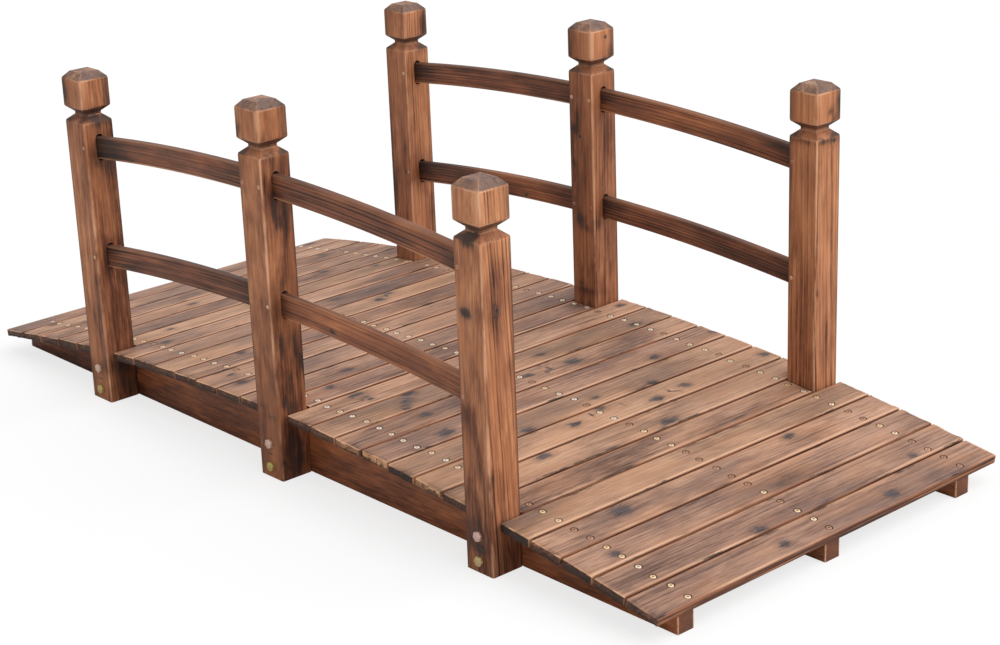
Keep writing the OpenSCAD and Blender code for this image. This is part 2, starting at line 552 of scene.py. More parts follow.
def wood_pattern(tree, ring_width, wander, late_from=0.45, short=1.0, wavy=0.15, push=KNOT_PUSH,
                 torn=2.6):
    """The masks that a stain is mixed from, under their names.

    Late wood fills each ring from late_from on. short is how short its fibres are: 1 on worn
    boards, and less on planed posts and rails, where each line runs on. wavy is how much the
    lines waver on the way, push how far a knot bends them, and torn how ragged its rim is."""
    grain = attribute(tree, "grain")
    across, _, through = parts_of(tree, grain)
    tone = attribute(tree, "tone", "Fac")
    shift = vector_of(tree, tone * 7.0, tone * 31.0, tone * 13.0)
    place = vector_math(tree, "ADD", grain, shift)

    ragged = noise(tree, place, 150, 70, 4.0, 0.72, 4.0) - 0.5
    spot = attribute(tree, "spot")
    spot_across, _, spot_through = parts_of(tree, spot)
    knot = vector_math(tree, "LENGTH", spot, (0, 0, 0), "Value")
    knot_here = attribute(tree, "spot_far", "Fac").step(5.0, 3.0)
    knot_edge = knot + ragged * torn

    slow = noise(tree, place, 9, 1.6, 1.0) - 0.5
    quick = noise(tree, place, 45, 6, 2.0) - 0.5
    radius = (across * across + through * through) ** 0.5
    outward = (spot_across * across + spot_through * through) / radius
    radius = radius - outward * knot.step(3.8, 0.3) * knot_here * push
    ring = (radius + slow * wander + quick * (wander * wavy)) / ring_width
    by_ring = vector_of(tree, ring, tone * 50.0, 0.0)
    year = noise(tree, by_ring, 0.9, 1.0, 1.0)
    bold = noise(tree, by_ring, 0.7, 1.0, 1.0, 0.5, 9.0)
    phase = (ring + year * 1.5).fraction()
    late = phase.step(late_from, 0.86) * (1 - phase.step(0.9, 0.98))
    strength = noise(tree, place, 60, 7 * short, 2.0, 0.5, 2.0)
    late = late * (0.3 + strength.step(0.3, 0.65) * 0.7) * (0.3 + bold.step(0.35, 0.6) * 0.7)
    figure = attribute(tree, "figure", "Fac")

    return SimpleNamespace(
        tone=tone,
        figure=figure,
        late=late * figure,
        mottle=noise(tree, place, 120, 26, 3.0, 0.65, 31.0),
        fibre=noise(tree, place, 460, 60 * short, 2.0, 0.65),
        streak=noise(tree, place, 300, 9 * short, 3.0, 0.7, 6.0),
        cloud=noise(tree, place, 38, 12, 3.0, 0.6, 11.0),
        patch=noise(tree, place, 14, 4, 3.0, 0.55, 3.0),
        warmth=noise(tree, place, 24, 6, 2.0, 0.5, 17.0),
        knot_core=knot_edge.step(1.45, 0.45) * knot_here,
        knot_halo=knot_edge.step(2.9, 0.7) * knot_here,
        scorch=attribute(tree, "scorch", "Fac"),
    )


# %% [markdown]
# Every timber goes through the same steps: the torch, the knots, the brush. They are written
# once here, and each timber then says how much of each it got. A place is given as a distance
# from a face, an end or a corner, in metres. `step` turns such a distance into a mask, so that
# `across.step(8 * MM, 2 * MM)` grows from 0 at 8 mm from an edge to 1 at 2 mm.

# %% Torch, knots and brush


def burn_level(wood, base, late, streak, fibre, cloud, patch, tone):
    """How burnt a place is: 0 is bare wood and 1 is charred."""
    level = base + wood.late * late + wood.tone * tone + wood.scorch * 0.4
    level = level + wood.streak.step(0.32, 0.68) * streak
    level = level + wood.fibre.step(0.32, 0.68) * fibre
    level = level + wood.cloud.step(0.36, 0.64) * cloud
    return level + wood.patch.step(0.38, 0.62) * patch


def charred(tree, wood, color, torch_color, knot_color, more=0.0):
    """Adds what the torch and the knots leave on top of the stain."""
    torch = wood.scorch + more + (wood.cloud - 0.5) * 1.1 + (wood.streak - 0.5) * 0.5
    torch = torch + (wood.mottle - 0.5) * 0.7
    color = blend(tree, torch.step(0.5, 1.1) * 0.85, color, torch_color)
    color = blend(tree, wood.knot_halo * 0.35, color, tint(104, 82, 72))
    color = blend(tree, wood.knot_core * 0.85, color, knot_color)
    flecks = wood.knot_core * wood.fibre.step(0.46, 0.6) * 0.6
    return blend(tree, flecks, color, tint(46, 38, 36))


def near(value, target, reach):
    """1 where a value is at its target, falling to 0 a reach away from it."""
    return (value - target).size().step(reach, reach * 0.4)


def close_wood(tree, wood, color, rough, strength, height):
    """Ends a timber's tree: dull, with its late wood brushed proud and its knots a little sunk."""
    level = wood.late * 0.9 + wood.streak * 0.8 + wood.fibre * 0.6
    level = level - wood.knot_core * 0.4
    relief = add_node(tree, "ShaderNodeBump", {}, {"Strength": strength, "Distance": height, "Height": level})
    close_material(tree, Base_Color=color, Roughness=rough, Specular_IOR_Level=DULL, Normal=relief)


# %% [markdown]
# ### Deck boards
#
# The boards are the greyest timber, since feet and weather reach them first. One number per
# board slides it between tan and grey-brown. The long edges are burnt and glow orange where
# the burnt part ends, and the wood beside them wears pale in places, with a painted highlight
# along the front edges. The screws' craters get painted shade, and the sawn ends are dark,
# with painted shade on their lower part.

# %% The deck's stain


def deck_places(tree, wood):
    """How far a place is from a plank's edges, ends and top, and how ragged a border runs there."""
    across, along, rise = rim_of(tree)
    depth = 0 - rise
    ragged = (wood.streak - 0.5) * (6 * MM) + (wood.patch - 0.5) * (8 * MM)
    return SimpleNamespace(across=across, along=along, depth=depth, ragged=ragged,
                           top=depth.step(1.4 * MM, 0.5 * MM))


def deck_faces(tree, wood):
    """The stain on a plank's faces, between tan, orange and grey-brown."""
    level = burn_level(wood, 0.0, late=0.24, streak=0.18, fibre=0.16, cloud=0.14, patch=0.22, tone=0.3)
    color = ladder(tree, level, (0.0, tint(234, 192, 160)), (0.3, tint(206, 162, 134)),
                   (0.55, tint(166, 127, 105)), (0.8, tint(112, 80, 64)), (1.0, tint(58, 39, 32)))
    hue = (wood.tone * 7.3).fraction()
    color = blend(tree, hue.step(0.5, 0.8) * 0.25, color, tint(150, 118, 108))
    color = blend(tree, hue.step(0.35, 0.1) * 0.25, color, tint(216, 170, 132))
    color = blend(tree, wood.warmth.step(0.46, 0.64) * 0.3, color, tint(206, 150, 112))
    return blend(tree, wood.patch.step(0.5, 0.66) * 0.34, color, tint(124, 104, 98))


# %% [markdown]
# Most of what tells a real plank from a brown box is at its edges and ends. The masks below
# are laid over the stain one after another, in the order of the work: stain, torch, brush, wear.
# Painted highlights and painted shade are laid in among them.

# %% The deck's edges and ends


def deck_edges(tree, wood, at, color):
    """A plank's long edges: glowing, burnt, then worn pale on top with a painted highlight on the front edge,
    and dark down the side with stain and painted shade.
    """
    across = at.across
    depth = at.depth
    glow = (across + at.ragged).step(8 * MM, 2 * MM) * wood.cloud.step(0.6, 0.42)
    color = blend(tree, glow * 0.45, color, tint(196, 128, 88))
    color = charred(tree, wood, color, tint(78, 60, 55), tint(82, 78, 83))
    color = blend(tree, wood.knot_core * across.step(8 * MM, 1 * MM) * 0.8, color, tint(32, 25, 24))

    edge_burn = attribute(tree, "edge_burn", "Fac")
    black = wood.cloud.step(0.5, 0.62) * edge_burn
    edge_color = blend(tree, black, tint(112, 62, 42), tint(46, 30, 24))
    burnt_edge = (across + at.ragged * 0.5).step(3 * MM, 0.8 * MM)
    color = blend(tree, burnt_edge * (0.6 + edge_burn * 0.3), color, edge_color)

    # Pale worn edges on top, with a painted highlight: the front edge, toward +X, is made paler than the back
    # one.
    front = parts_of(tree, attribute(tree, "place"))[0].step(-1 * MM, 1 * MM)
    pale_edges = near(across + at.ragged * 0.3, 3.4 * MM, 3 * MM) * (0.35 + front * 0.65)
    pale_edges = pale_edges * at.top
    color = blend(tree, pale_edges * wood.patch.step(0.6, 0.42) * 0.75, color, tint(236, 190, 156))
    # Near-black spots along the long edges.
    dark_edge_spots = (wood.cloud + (wood.fibre - 0.5) * 0.5).step(0.6, 0.66) * across.step(7 * MM, 2 * MM)
    color = blend(tree, dark_edge_spots * 0.85, color, tint(44, 30, 24))

    # The side faces in the gaps: dark stain, with the shade of the narrow gap painted in.
    side = across.step(1.2 * MM, 0.3 * MM) * depth.step(0.4 * MM, 1.4 * MM)
    side_stain_and_shade = ladder(tree, wood.streak + 0.06 - edge_burn * 0.06, (0.42, tint(46, 28, 20)),
                        (0.53, tint(96, 56, 37)), (0.66, tint(184, 122, 82)))
    color = blend(tree, side * 0.92, color, side_stain_and_shade)
    # Painted shade along the bottom of the sides and under the plank.
    return blend(tree, depth.step(10.4 * MM, 11.2 * MM) * 0.5, color, tint(96, 62, 46))


def deck_ends(tree, wood, at, color):
    """A plank's sawn ends: cracked, with painted shade darkening the lower part so that it looks broken away,
    and brushed pale along the upper rim.
    """
    along = at.along
    depth = at.depth
    near_end = (along + at.ragged * 1.4).step(12 * MM, 1 * MM)
    end_stain = blend(tree, wood.patch.step(0.44, 0.58), tint(218, 164, 126), tint(92, 66, 54))
    color = blend(tree, near_end * 0.4, color, end_stain)

    chunk = noise(tree, attribute(tree, "grain"), 75, 75, 3.0, 0.65, 21.0) - 0.5
    # Dark cracks, and painted shade darkening the lower part of the end.
    cracks_and_lower_shade = (chunk - 0.04).size().step(0.022, 0.004) * 0.5 + depth.step(7.5 * MM, 12 * MM) * 0.25
    end_level = attribute(tree, "sawn", "Fac") + chunk * 1.3 + (wood.fibre - 0.5) * 0.6 - cracks_and_lower_shade
    end_color = ladder(tree, end_level, (0.0, tint(26, 19, 17)), (0.3, tint(78, 50, 37)),
                       (0.6, tint(138, 92, 65)), (0.9, tint(226, 170, 126)))
    color = blend(tree, along.step(1.4 * MM, 0.6 * MM) * 0.94, color, end_color)

    # Painted shade: a ragged lower band of the end is made dark, so that the end looks broken away below.
    shaded_lower_end = (depth + chunk * (30 * MM)).step(8.4 * MM, 9.6 * MM) * along.step(2 * MM, 1 * MM)
    color = blend(tree, shaded_lower_end * 0.85, color, tint(52, 33, 25))
    rim = near(along, 2.2 * MM, 2.2 * MM) * at.top
    return blend(tree, rim * wood.cloud.step(0.6, 0.44) * 0.7, color, tint(230, 180, 144))


def deck_material():
    material, tree = new_material("deck_wood")
    wood = wood_pattern(tree, ring_width=6.2 * MM, wander=12 * MM, short=0.6)
    at = deck_places(tree, wood)
    color = deck_edges(tree, wood, at, deck_faces(tree, wood))
    color = deck_ends(tree, wood, at, color)
    # Painted shade on the floors of the screws' craters.
    color = blend(tree, attribute(tree, "pit", "Fac") * 0.85, color, tint(48, 32, 25))
    rough = 0.5 + wood.streak * 0.25 + wood.knot_halo * 0.1
    close_wood(tree, wood, color, rough, 0.6, 1 * MM)
    return material


# %% [markdown]
# ### Posts
#
# The posts keep more of the red of the stain. Two of the four upright edges are pale tan and
# the other two darker. The caps have gone grey, and shade is painted into the neck.

# %% The posts' stain
LIP_DROP = 0.4 * MM
LIP_REACH = 1.2 * MM


def post_places(tree, wood):
    """Where on a post a place is: distances in metres, and masks of the post's own regions."""
    side_x, rise, side_y = rim_of(tree)
    place_x, _, place_y = parts_of(tree, attribute(tree, "place"))
    down = 0 - rise
    at = SimpleNamespace(down=down, side=side_x.least(side_y))
    at.corner = side_x + side_y + (wood.streak - 0.5) * (4 * MM)
    at.plain = (side_y - side_x).step(1 * MM, -1 * MM)
    # Two diagonal corners, the one toward +X and -Y and its opposite, are made pale; the other two darker.
    at.brushed = (place_x * place_y).step(100 * MM * MM, -100 * MM * MM)
    at.forward = (place_x - place_y.size()).step(-1.5 * MM, 1.5 * MM)
    at.hip = near(place_x.size() - place_y.size(), 0.0, 1.6 * MM)
    at.top = down.step(HEAD_CAP + 0.4 * MM, HEAD_CAP - 2 * MM)
    at.head = down.step(GROOVE_TOP + 2 * MM, GROOVE_TOP - 4 * MM)
    at.slope = down.step(NECK_END - 0.5 * MM, NECK_END + 1 * MM)
    at.slope = at.slope * down.step(GROOVE_END + 1 * MM, GROOVE_END - 0.5 * MM)
    return at


def post_faces(tree, wood, at):
    """The stain on the shaft and the head. Two of the four faces are plainer."""
    bold = wood.figure
    plain = at.plain
    head = at.head
    level = burn_level(wood, 0.07 + plain * 0.06, late=0.31 + bold * 0.06 - plain * 0.12 - head * 0.08,
                       streak=(0.24 - plain * 0.06) * (0.4 + bold * 0.6),
                       fibre=0.12, cloud=0.2 - bold * 0.08, patch=0.18, tone=0.2)
    level = level + (wood.mottle - 0.5) * (0.6 - bold * 0.4)
    calm = 0.66 + (wood.cloud - 0.5) * 1.2
    level = level + (calm - level) * (at.slope * 0.75)
    color = ladder(tree, level - head * 0.1, (0.0, tint(238, 174, 126)), (0.28, tint(210, 144, 100)),
                   (0.52, tint(169, 109, 74)), (0.78, tint(106, 61, 40)), (1.0, tint(50, 30, 22)))
    return blend(tree, wood.warmth.step(0.46, 0.64) * 0.4, color, tint(190, 122, 80))


# %% [markdown]
# The head has end grain on top, which drinks the stain and weathers first. The groove is
# turned after the post is planed, so it has no brushed lines, and shade is painted into it
# under the head and on its floor.

# %% The posts' heads and edges


def post_cap(tree, wood, at, color):
    """The sloped cap, gone grey, darker on its front slope and scribbled over with cracks."""
    level = wood.cloud + at.forward * 0.16 + wood.late * 0.06 + (wood.fibre - 0.5) * 0.2
    grey = ladder(tree, level, (0.34, tint(182, 144, 120)), (0.5, tint(140, 110, 93)),
                  (0.66, tint(100, 88, 86)))
    color = blend(tree, at.top * 0.8, color, grey)
    line = noise(tree, attribute(tree, "grain"), 90, 90, 3.0, 0.65, 41.0) - 0.48
    scribble = line.size().step(0.02, 0.004) * at.top * wood.patch.step(0.36, 0.52)
    return blend(tree, scribble * 0.8, color, tint(48, 38, 35))


def post_groove(tree, wood, at, color):
    """The groove below the head: painted shade under the head and on its floor, pale at its lower lip."""
    down = at.down
    # Painted shade on the underside of the head.
    shade_under_head = down.step(GROOVE_TOP, GROOVE_TOP + 3 * MM) * down.step(FLOOR_START + 1 * MM, FLOOR_START)
    color = blend(tree, shade_under_head * 0.8, color, tint(66, 44, 35))
    # Painted shade on the groove's floor.
    floor = down.step(FLOOR_START, FLOOR_START + 0.8 * MM) * down.step(NECK_END + 2 * MM, NECK_END - 1 * MM)
    color = blend(tree, floor * 0.5, color, tint(92, 62, 46))
    lip = near(down, NECK_END + LIP_DROP, LIP_REACH) * wood.cloud.step(0.64, 0.46)
    return blend(tree, lip * 0.5, color, tint(214, 160, 124))


def post_edges(tree, wood, at, color):
    """Two upright edges darker and two pale, with pale rims at the head and shoulder."""
    down = at.down
    corner = at.corner
    brushed = at.brushed
    black = corner.step(20 * MM, 3 * MM) * at.top.most(at.head * 0.7)
    black = corner.step(6 * MM, 1 * MM).most(black) * (1 - brushed)
    color = blend(tree, black * wood.patch.step(0.3, 0.5) * 0.75, color, tint(54, 40, 35))

    ringed = near(down, HEAD_CAP, 1.6 * MM).most(near(down, GROOVE_TOP, 1.4 * MM))
    ringed = ringed.most(near(down, GROOVE_END, 2 * MM) * 0.4)
    ringed = ringed * at.side.step(3 * MM, 1 * MM) * (0.1 + brushed * 0.4)
    upright = corner.step(3.2 * MM, 1.4 * MM) * brushed
    upright = upright.most(corner.step(9 * MM, 2 * MM) * brushed * at.head * 0.6)
    pale_edges = (upright * wood.cloud.step(0.68, 0.42)).most(ringed)
    pale_edges = pale_edges.most(at.hip * at.top * brushed * 0.22)
    pale_edges = pale_edges * (1 - wood.scorch.step(0.3, 0.9))
    return blend(tree, pale_edges * wood.patch.step(0.75, 0.4) * 0.85, color, tint(240, 186, 148))


def post_material():
    material, tree = new_material("post_wood")
    wood = wood_pattern(tree, ring_width=6.2 * MM, wander=12 * MM, late_from=0.5, short=0.3, wavy=0.6,
                        torn=1.5)
    at = post_places(tree, wood)
    color = post_cap(tree, wood, at, post_faces(tree, wood, at))
    shoulder = at.down.step(GROOVE_END + 35 * MM, GROOVE_END - 2 * MM) * (1 - at.head)
    darker_corners = at.corner.step(30 * MM, 6 * MM) * (1 - at.brushed)
    color = charred(tree, wood, color, tint(58, 45, 40), tint(48, 41, 40),
                    more=shoulder * 0.36 + darker_corners * (at.slope * 0.7 + at.head * 0.45))
    color = post_groove(tree, wood, at, color)
    color = post_edges(tree, wood, at, color)
    # Painted shade: the walls inside the mortises, more than 6 mm in from the faces, are made near black.
    inside = at.side.step(2.5 * MM, 6 * MM) * at.down.step(GROOVE_END + 3 * MM, GROOVE_END + 6 * MM)
    color = blend(tree, inside * 0.95, color, tint(34, 22, 17))
    close_wood(tree, wood, color, 0.48 + wood.streak * 0.25, 0.55, 1 * MM)
    return material


# %% [markdown]
# ### Rails and stringers
#
# The rails are bent laths with the lines of the wood running along the bend. They are darker
# than the posts, because a brush hardly reached their faces, and their lower edges get a
# painted highlight. The stringers are smooth sawn timber in the same stain, laid on thick, so
# that little of the grain shows. Toward the rear end they are darkened with painted shade.

# %% The rails' and the stringers' stain


def rail_material():
    material, tree = new_material("rail_wood")
    wood = wood_pattern(tree, ring_width=4.6 * MM, wander=4 * MM, late_from=0.4, short=0.3, push=1.5 * MM)
    level = burn_level(wood, -0.02, late=0.5, streak=0.24, fibre=0.1, cloud=0.14, patch=0.26, tone=0.3)
    color = ladder(tree, level, (0.0, tint(220, 146, 98)), (0.3, tint(178, 112, 74)),
                   (0.55, tint(134, 81, 56)), (0.8, tint(84, 51, 37)), (1.0, tint(42, 28, 22)))
    color = blend(tree, wood.warmth.step(0.5, 0.66) * 0.3, color, tint(92, 70, 60))
    up, _, side = rim_of(tree)
    above = parts_of(tree, attribute(tree, "place"))[0].step(-1 * MM, 1 * MM)
    upper = (up + (wood.streak - 0.5) * (3 * MM)).step(2.2 * MM, 0.8 * MM) * above
    color = blend(tree, upper * 0.4, color, tint(84, 60, 50))
    color = charred(tree, wood, color, tint(44, 32, 27), tint(44, 38, 37))
    # Pale worn edges, with a painted highlight: the lower edges are made paler than the upper ones.
    pale_edges = (up + side + (wood.streak - 0.5) * (4 * MM)).step(3.6 * MM, 1.4 * MM) * (1 - above * 0.6)
    color = blend(tree, pale_edges * wood.patch.step(0.62, 0.4) * 0.6, color, tint(214, 156, 114))
    close_wood(tree, wood, color, 0.46 + wood.streak * 0.25, 0.55, 0.9 * MM)
    return material


def stringer_material():
    material, tree = new_material("stringer_wood")
    wood = wood_pattern(tree, ring_width=6 * MM, wander=20 * MM, short=0.5)
    level = burn_level(wood, -0.04, late=0.12, streak=0.18, fibre=0.24, cloud=0.2, patch=0.2, tone=0.12)
    # Painted shade: the rear ends of the stringers are darkened.
    rear_shade = parts_of(tree, attribute(tree, "place"))[1].step(-250 * MM, -550 * MM)
    level = level + (wood.mottle - 0.5) * 0.5 + rear_shade * 0.25
    color = ladder(tree, level, (0.0, tint(190, 114, 68)), (0.4, tint(144, 84, 52)),
                   (0.7, tint(98, 56, 37)), (1.0, tint(48, 28, 20)))
    _, along, side = rim_of(tree)
    color = blend(tree, along.step(1.2 * MM, 0.4 * MM) * 0.6, color, tint(92, 58, 42))
    corner = (along + side).step(2.4 * MM, 0.8 * MM)
    color = blend(tree, corner * wood.streak.step(0.3, 0.5) * 0.8, color, tint(230, 170, 130))
    close_wood(tree, wood, color, 0.42 + wood.streak * 0.2, 0.3, 0.8 * MM)
    return material


# %% [markdown]
# ### Zinc
#
# The screws and bolts are plated. Yellow and clear plating are mixed, as they come out of
# the bag, and the palest tones are partly a painted glint. Some heads got stain on them and
# look like the wood. The recess is darkened by grime and by painted shade.

# %% The fixings' plating


def zinc_material():
    material, tree = new_material("zinc_fixings")
    tone = attribute(tree, "tone", "Fac")
    pit = attribute(tree, "pit", "Fac")
    place = add_node(tree, "ShaderNodeTexCoord", {}, {}, "Object")
    grime = noise(tree, place, 600, 600, 2.0)
    # The palest, near-white tones are partly a painted glint.
    color = ladder(tree, tone, (0.0, tint(255, 243, 230)), (0.3, tint(255, 232, 200)),
                   (0.6, tint(250, 212, 158)), (0.66, tint(206, 156, 126)), (0.8, tint(180, 132, 104)),
                   (0.86, tint(222, 186, 174)), (1.0, tint(190, 172, 96)))
    color = blend(tree, grime.step(0.5, 0.72) * 0.3, color, tint(150, 112, 88))
    # Grime and painted shade in the recess of the head.
    color = blend(tree, pit * 0.6, color, tint(120, 86, 60))
    rough = 0.3 + grime * 0.3
    bump = add_node(tree, "ShaderNodeBump", {}, {"Strength": 0.2, "Distance": 0.2 * MM, "Height": grime})
    close_material(tree, Base_Color=color, Metallic=0.4, Roughness=rough, Normal=bump)
    return material


FINISHES = {
    "deck_wood": deck_material(),
    "post_wood": post_material(),
    "rail_wood": rail_material(),
    "stringer_wood": stringer_material(),
    "zinc_fixings": zinc_material(),
}
print("finishes:", ", ".join(FINISHES))


def finish_piece(piece, slot, *nodes):
    """Gives a piece its finish and its body, and hides the nodes that it stands for."""
    piece.data.materials.clear()
    piece.data.materials.append(FINISHES[slot])
    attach(piece, ROOT)
    if nodes:
        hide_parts(*nodes)
    return piece


# %% [markdown]
# ## Stringers
#
# A stringer is a plank on edge, 28 mm thick, sawn to the arch on top. A box cut by a large
# drum gives that outline with a true curve, and a narrow bevel eases the sawn edges.

# %% The three stringers
ARCH_SIDES = 720
DRUM_LENGTH = 200 * MM
SAW_EASE = 0.8 * MM


def stringer_blank():
    blank = block("stringer_blank", (2 * STRINGER_HALF, STRINGER_THICKNESS, STRINGER_HEIGHT),
                  (0, 0, STRINGER_HEIGHT / 2))
    drum = rod("drum", ARCH_SIDES, ARCH_RADIUS, DRUM_LENGTH, (0, 0, STRINGER_HEIGHT - ARCH_RADIUS),
               turn=(math.pi / 2, 0, 0))
    add_modifier(blank, "BOOLEAN", object=drum, operation="INTERSECT", solver="EXACT")
    ease_edges(blank, SAW_EASE, 2, 50)
    remove(drum)
    return blank


def stringer_local(co):
    return co.z - STRINGER_HEIGHT / 2, co.x, co.y


blank = stringer_blank()
for number, (side, line) in enumerate(STRINGER_LINES.items()):
    stringer = copy_of(blank, f"{side}_stringer_timber")
    dress(stringer, stringer_local, (STRINGER_HEIGHT / 2, STRINGER_HALF, STRINGER_THICKNESS / 2),
          (0.03 + 0.01 * number, -0.05), (0.02, 0.01), 0.3 + 0.25 * number)
    stringer.location.y = line
    apply_place(stringer)
    smooth(stringer)
    finish_piece(stringer, "stringer_wood", f"{side}_stringer")
remove(blank)
print(f"stringers {2 * STRINGER_HALF:.3f} m long, {faces(stringer)} faces each")

# %% [markdown]
# ## Planks
#
# A plank is a box with its four corners rounded, its long edges eased and a few hundred
# small faces, so that it can be a little uneven. One long and one short blank are made, and
# each plank is a copy with its own screw holes, ends and waves.

# %% Plank blanks
ROWS = 56
COLUMNS = 6
EDGE_EASE = 1.5 * MM
CORNER_ROUND = 4 * MM
# A plank shorter than this stands between two posts and is as wide as a post.
LONG_FROM = 600 * MM


def plank_width(length):
    return BOARD_WIDTH if length > LONG_FROM else POST_WIDTH


def plank_blank(name, length):
    width = plank_width(length)
    plank = block(name, (width, length, BOARD_THICKNESS))
    with editing(plank):
        cut_across(plank, 1, ROWS)
        cut_across(plank, 0, COLUMNS)
        pick(plank, "EDGE", at_corners(width / 2, length / 2))
        bpy.ops.mesh.bevel(offset=CORNER_ROUND, segments=4, affect="EDGES")
    return ease_edges(plank, EDGE_EASE, 3, 60)


deck_boxes = {node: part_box(node) for node in deck_nodes}
lengths = {node: high.y - low.y for node, (low, high) in deck_boxes.items()}
long_blank = plank_blank("long_blank", max(lengths.values()))
short_blank = plank_blank("short_blank", min(lengths.values()))
print(f"blanks with {faces(long_blank)} and {faces(short_blank)} faces")

# %% [markdown]
# ### What the photograph shows of each plank
#
# Planks are counted from the rear end. How grey each one is, where its knots are and how light
# its sawn end is were judged. On the planks that can't be seen well, luck decides. All
# luck comes from seeded generators, so every run lays the same deck.

# %% The planks' own marks
luck = random.Random(27)
saw_luck = random.Random(165)

SEEN_TONES = [0.8, 0.45, 0.6, 0.45, 0.75, 0.55, 0.35, 0.5, 0.55, 0.6, 0.5, 0.38, 0.36, 0.95,
              0.45, 0.7, 0.6, 0.4, 0.42, 0.43, 0.3, 0.75, 0.7, 0.35, 0.65, 0.8, 0.66]
SEEN_ENDS = {15: 0.3, 16: 0.4, 17: 0.7, 18: 0.9, 19: 0.0, 20: 0.75, 21: 0.3, 22: 0.3, 23: 0.0, 24: 0.35,
             25: 0.1, 26: 0.25, 27: 0.4}
UNSEEN_END = 0.3
# The long edges of the rear planks, up to this one, are darker than those of the front ones.
LAST_BURNT = 14
REAR_EDGE_DARKNESS = 0.8
FRONT_EDGE_DARKNESS = 0.3
# Where the torch stayed longer: across, along, half width and half length in mm, and strength.
SEEN_BURNS = {
    13: [(0, -220, 24, 80, 0.4)],
    14: [(26, 150, 9, 60, 1.5), (22, 215, 6, 60, 0.8), (-10, 280, 20, 30, 0.6)],
    22: [(0, -230, 30, 60, 0.4)],
    26: [(0, -240, 30, 80, 0.5)],
}
# Knots of the planks that the photograph shows well: across, along and radius in mm.
SEEN_KNOTS = {
    7: [(-2, -245, 6)],
    10: [(-18, -210, 6)],
    11: [(-2, -280, 5)],
    13: [(4, -155, 6)],
    14: [(-14, -215, 6)],
    15: [(-18, -210, 8), (10, -205, 5), (-8, 320, 6)],
    16: [(-21, -155, 8), (0, -175, 7), (19, -190, 6), (12, 275, 7), (2, 85, 5)],
    17: [(-2, -185, 7), (-8, 15, 7), (-2, 100, 10)],
    18: [(6, -205, 11), (14, 200, 7), (2, 340, 7)],
    19: [(20, 130, 6), (19, -115, 7), (4, 30, 5)],
    20: [(9, 95, 8), (2, 160, 6), (-6, -55, 7), (-21, 10, 6), (3, 330, 6)],
    21: [(-18, -155, 7), (15, 55, 9)],
    22: [(22, -215, 4)],
    23: [],
    24: [(-10, -182, 10), (-14, 150, 7)],
    25: [(4, -265, 6)],
    26: [(19, -75, 7), (14, 245, 6)],
    27: [(4, -75, 6), (7, 140, 9)],
}


def plank_knots(number, middle_y):
    """The knots that the photograph shows, or else one or two by luck."""
    seen = SEEN_KNOTS.get(number)
    if seen is None:
        seen = [(luck.uniform(-18, 18), luck.uniform(-310, 310), luck.uniform(5, 8))
                for _ in range(luck.choice((1, 2)))]
    return [(x * MM, y * MM - middle_y, BOARD_THICKNESS / 2, size * MM, luck.uniform(1.2, 1.7), THROUGH)
            for x, y, size in seen]


def plank_burns(number, width, half, middle_y):
    """One or two soft burns by luck, one at each end, and those that the photograph shows."""
    burns_and_shade = []
    for _ in range(luck.choice((1, 1, 2))):
        burns_and_shade.append((luck.uniform(-0.5, 0.5) * width, luck.uniform(-1, 1) * half, BOARD_THICKNESS / 2,
                      luck.uniform(10, 22) * MM, luck.uniform(24, 80) * MM, luck.uniform(0.25, 0.6)))
    for side in (-1, 1):
        burns_and_shade.append((0, side * half, 0, 60 * MM, luck.uniform(4, 12) * MM, luck.uniform(0.3, 0.7)))
    for x, y, half_width, half_length, strength in SEEN_BURNS.get(number, []):
        burns_and_shade.append((x * MM, y * MM - middle_y, BOARD_THICKNESS / 2, half_width * MM, half_length * MM,
                      strength))
    return burns_and_shade


print(f"{sum(map(len, SEEN_KNOTS.values()))} knots on {len(SEEN_KNOTS)} planks as seen")

# %% [markdown]
# ### Craters for the screws
#
# A driven screw presses the soft wood down, and its head sits in a small crater. A crater that
# is really cut throws a real shadow, which a painted ring would not. The screws follow three
# lines over the stringers, and each missed its line a little.

# %% Craters
HEAD_RADIUS = 4.0 * MM
CRATER_SIDES = 14
CRATER_RADIUS = 5.6 * MM
CRATER_SLOPE = 0.5 * MM
CRATER_DEPTH = 1.6 * MM
SCREW_OFFSET = 14 * MM
SCREW_LINES = {"left": -263 * MM, "middle": 2 * MM, "right": 276 * MM}
# The tone of a screw's plating on the deck, and on the front ramp after this plank. The
# deck's screws get the palest tones, partly a painted glint.
LAST_ON_DECK = 20
DECK_PLATING_AND_GLINT = (0.0, 0.5)
RAMP_PLATING = (0.2, 0.8)
STAINED_PLATING = 0.76
STAINED_BELOW = 0.5
screw_places = {side: [] for side in SCREW_LINES}


def scatter_screws(number, middle_y):
    """Notes where a plank's screws go, how far each is turned and how it is plated."""
    wander = (luck.uniform(-1.2, 1.2) * MM, luck.uniform(-2, 2) * MM)
    places = []
    for side, line in SCREW_LINES.items():
        for step in (-SCREW_OFFSET, SCREW_OFFSET):
            x = step + wander[0] + luck.uniform(-1.2, 1.2) * MM
            y = line + wander[1] + luck.uniform(-1.5, 1.5) * MM
            places.append((x, y - middle_y))
            turn = luck.uniform(0, math.pi)
            plating = luck.uniform(*(DECK_PLATING_AND_GLINT if number <= LAST_ON_DECK else RAMP_PLATING))
            if turn < STAINED_BELOW:
                plating = STAINED_PLATING
            screw_places[side].append((number, x, y - middle_y, turn, plating))
    return places


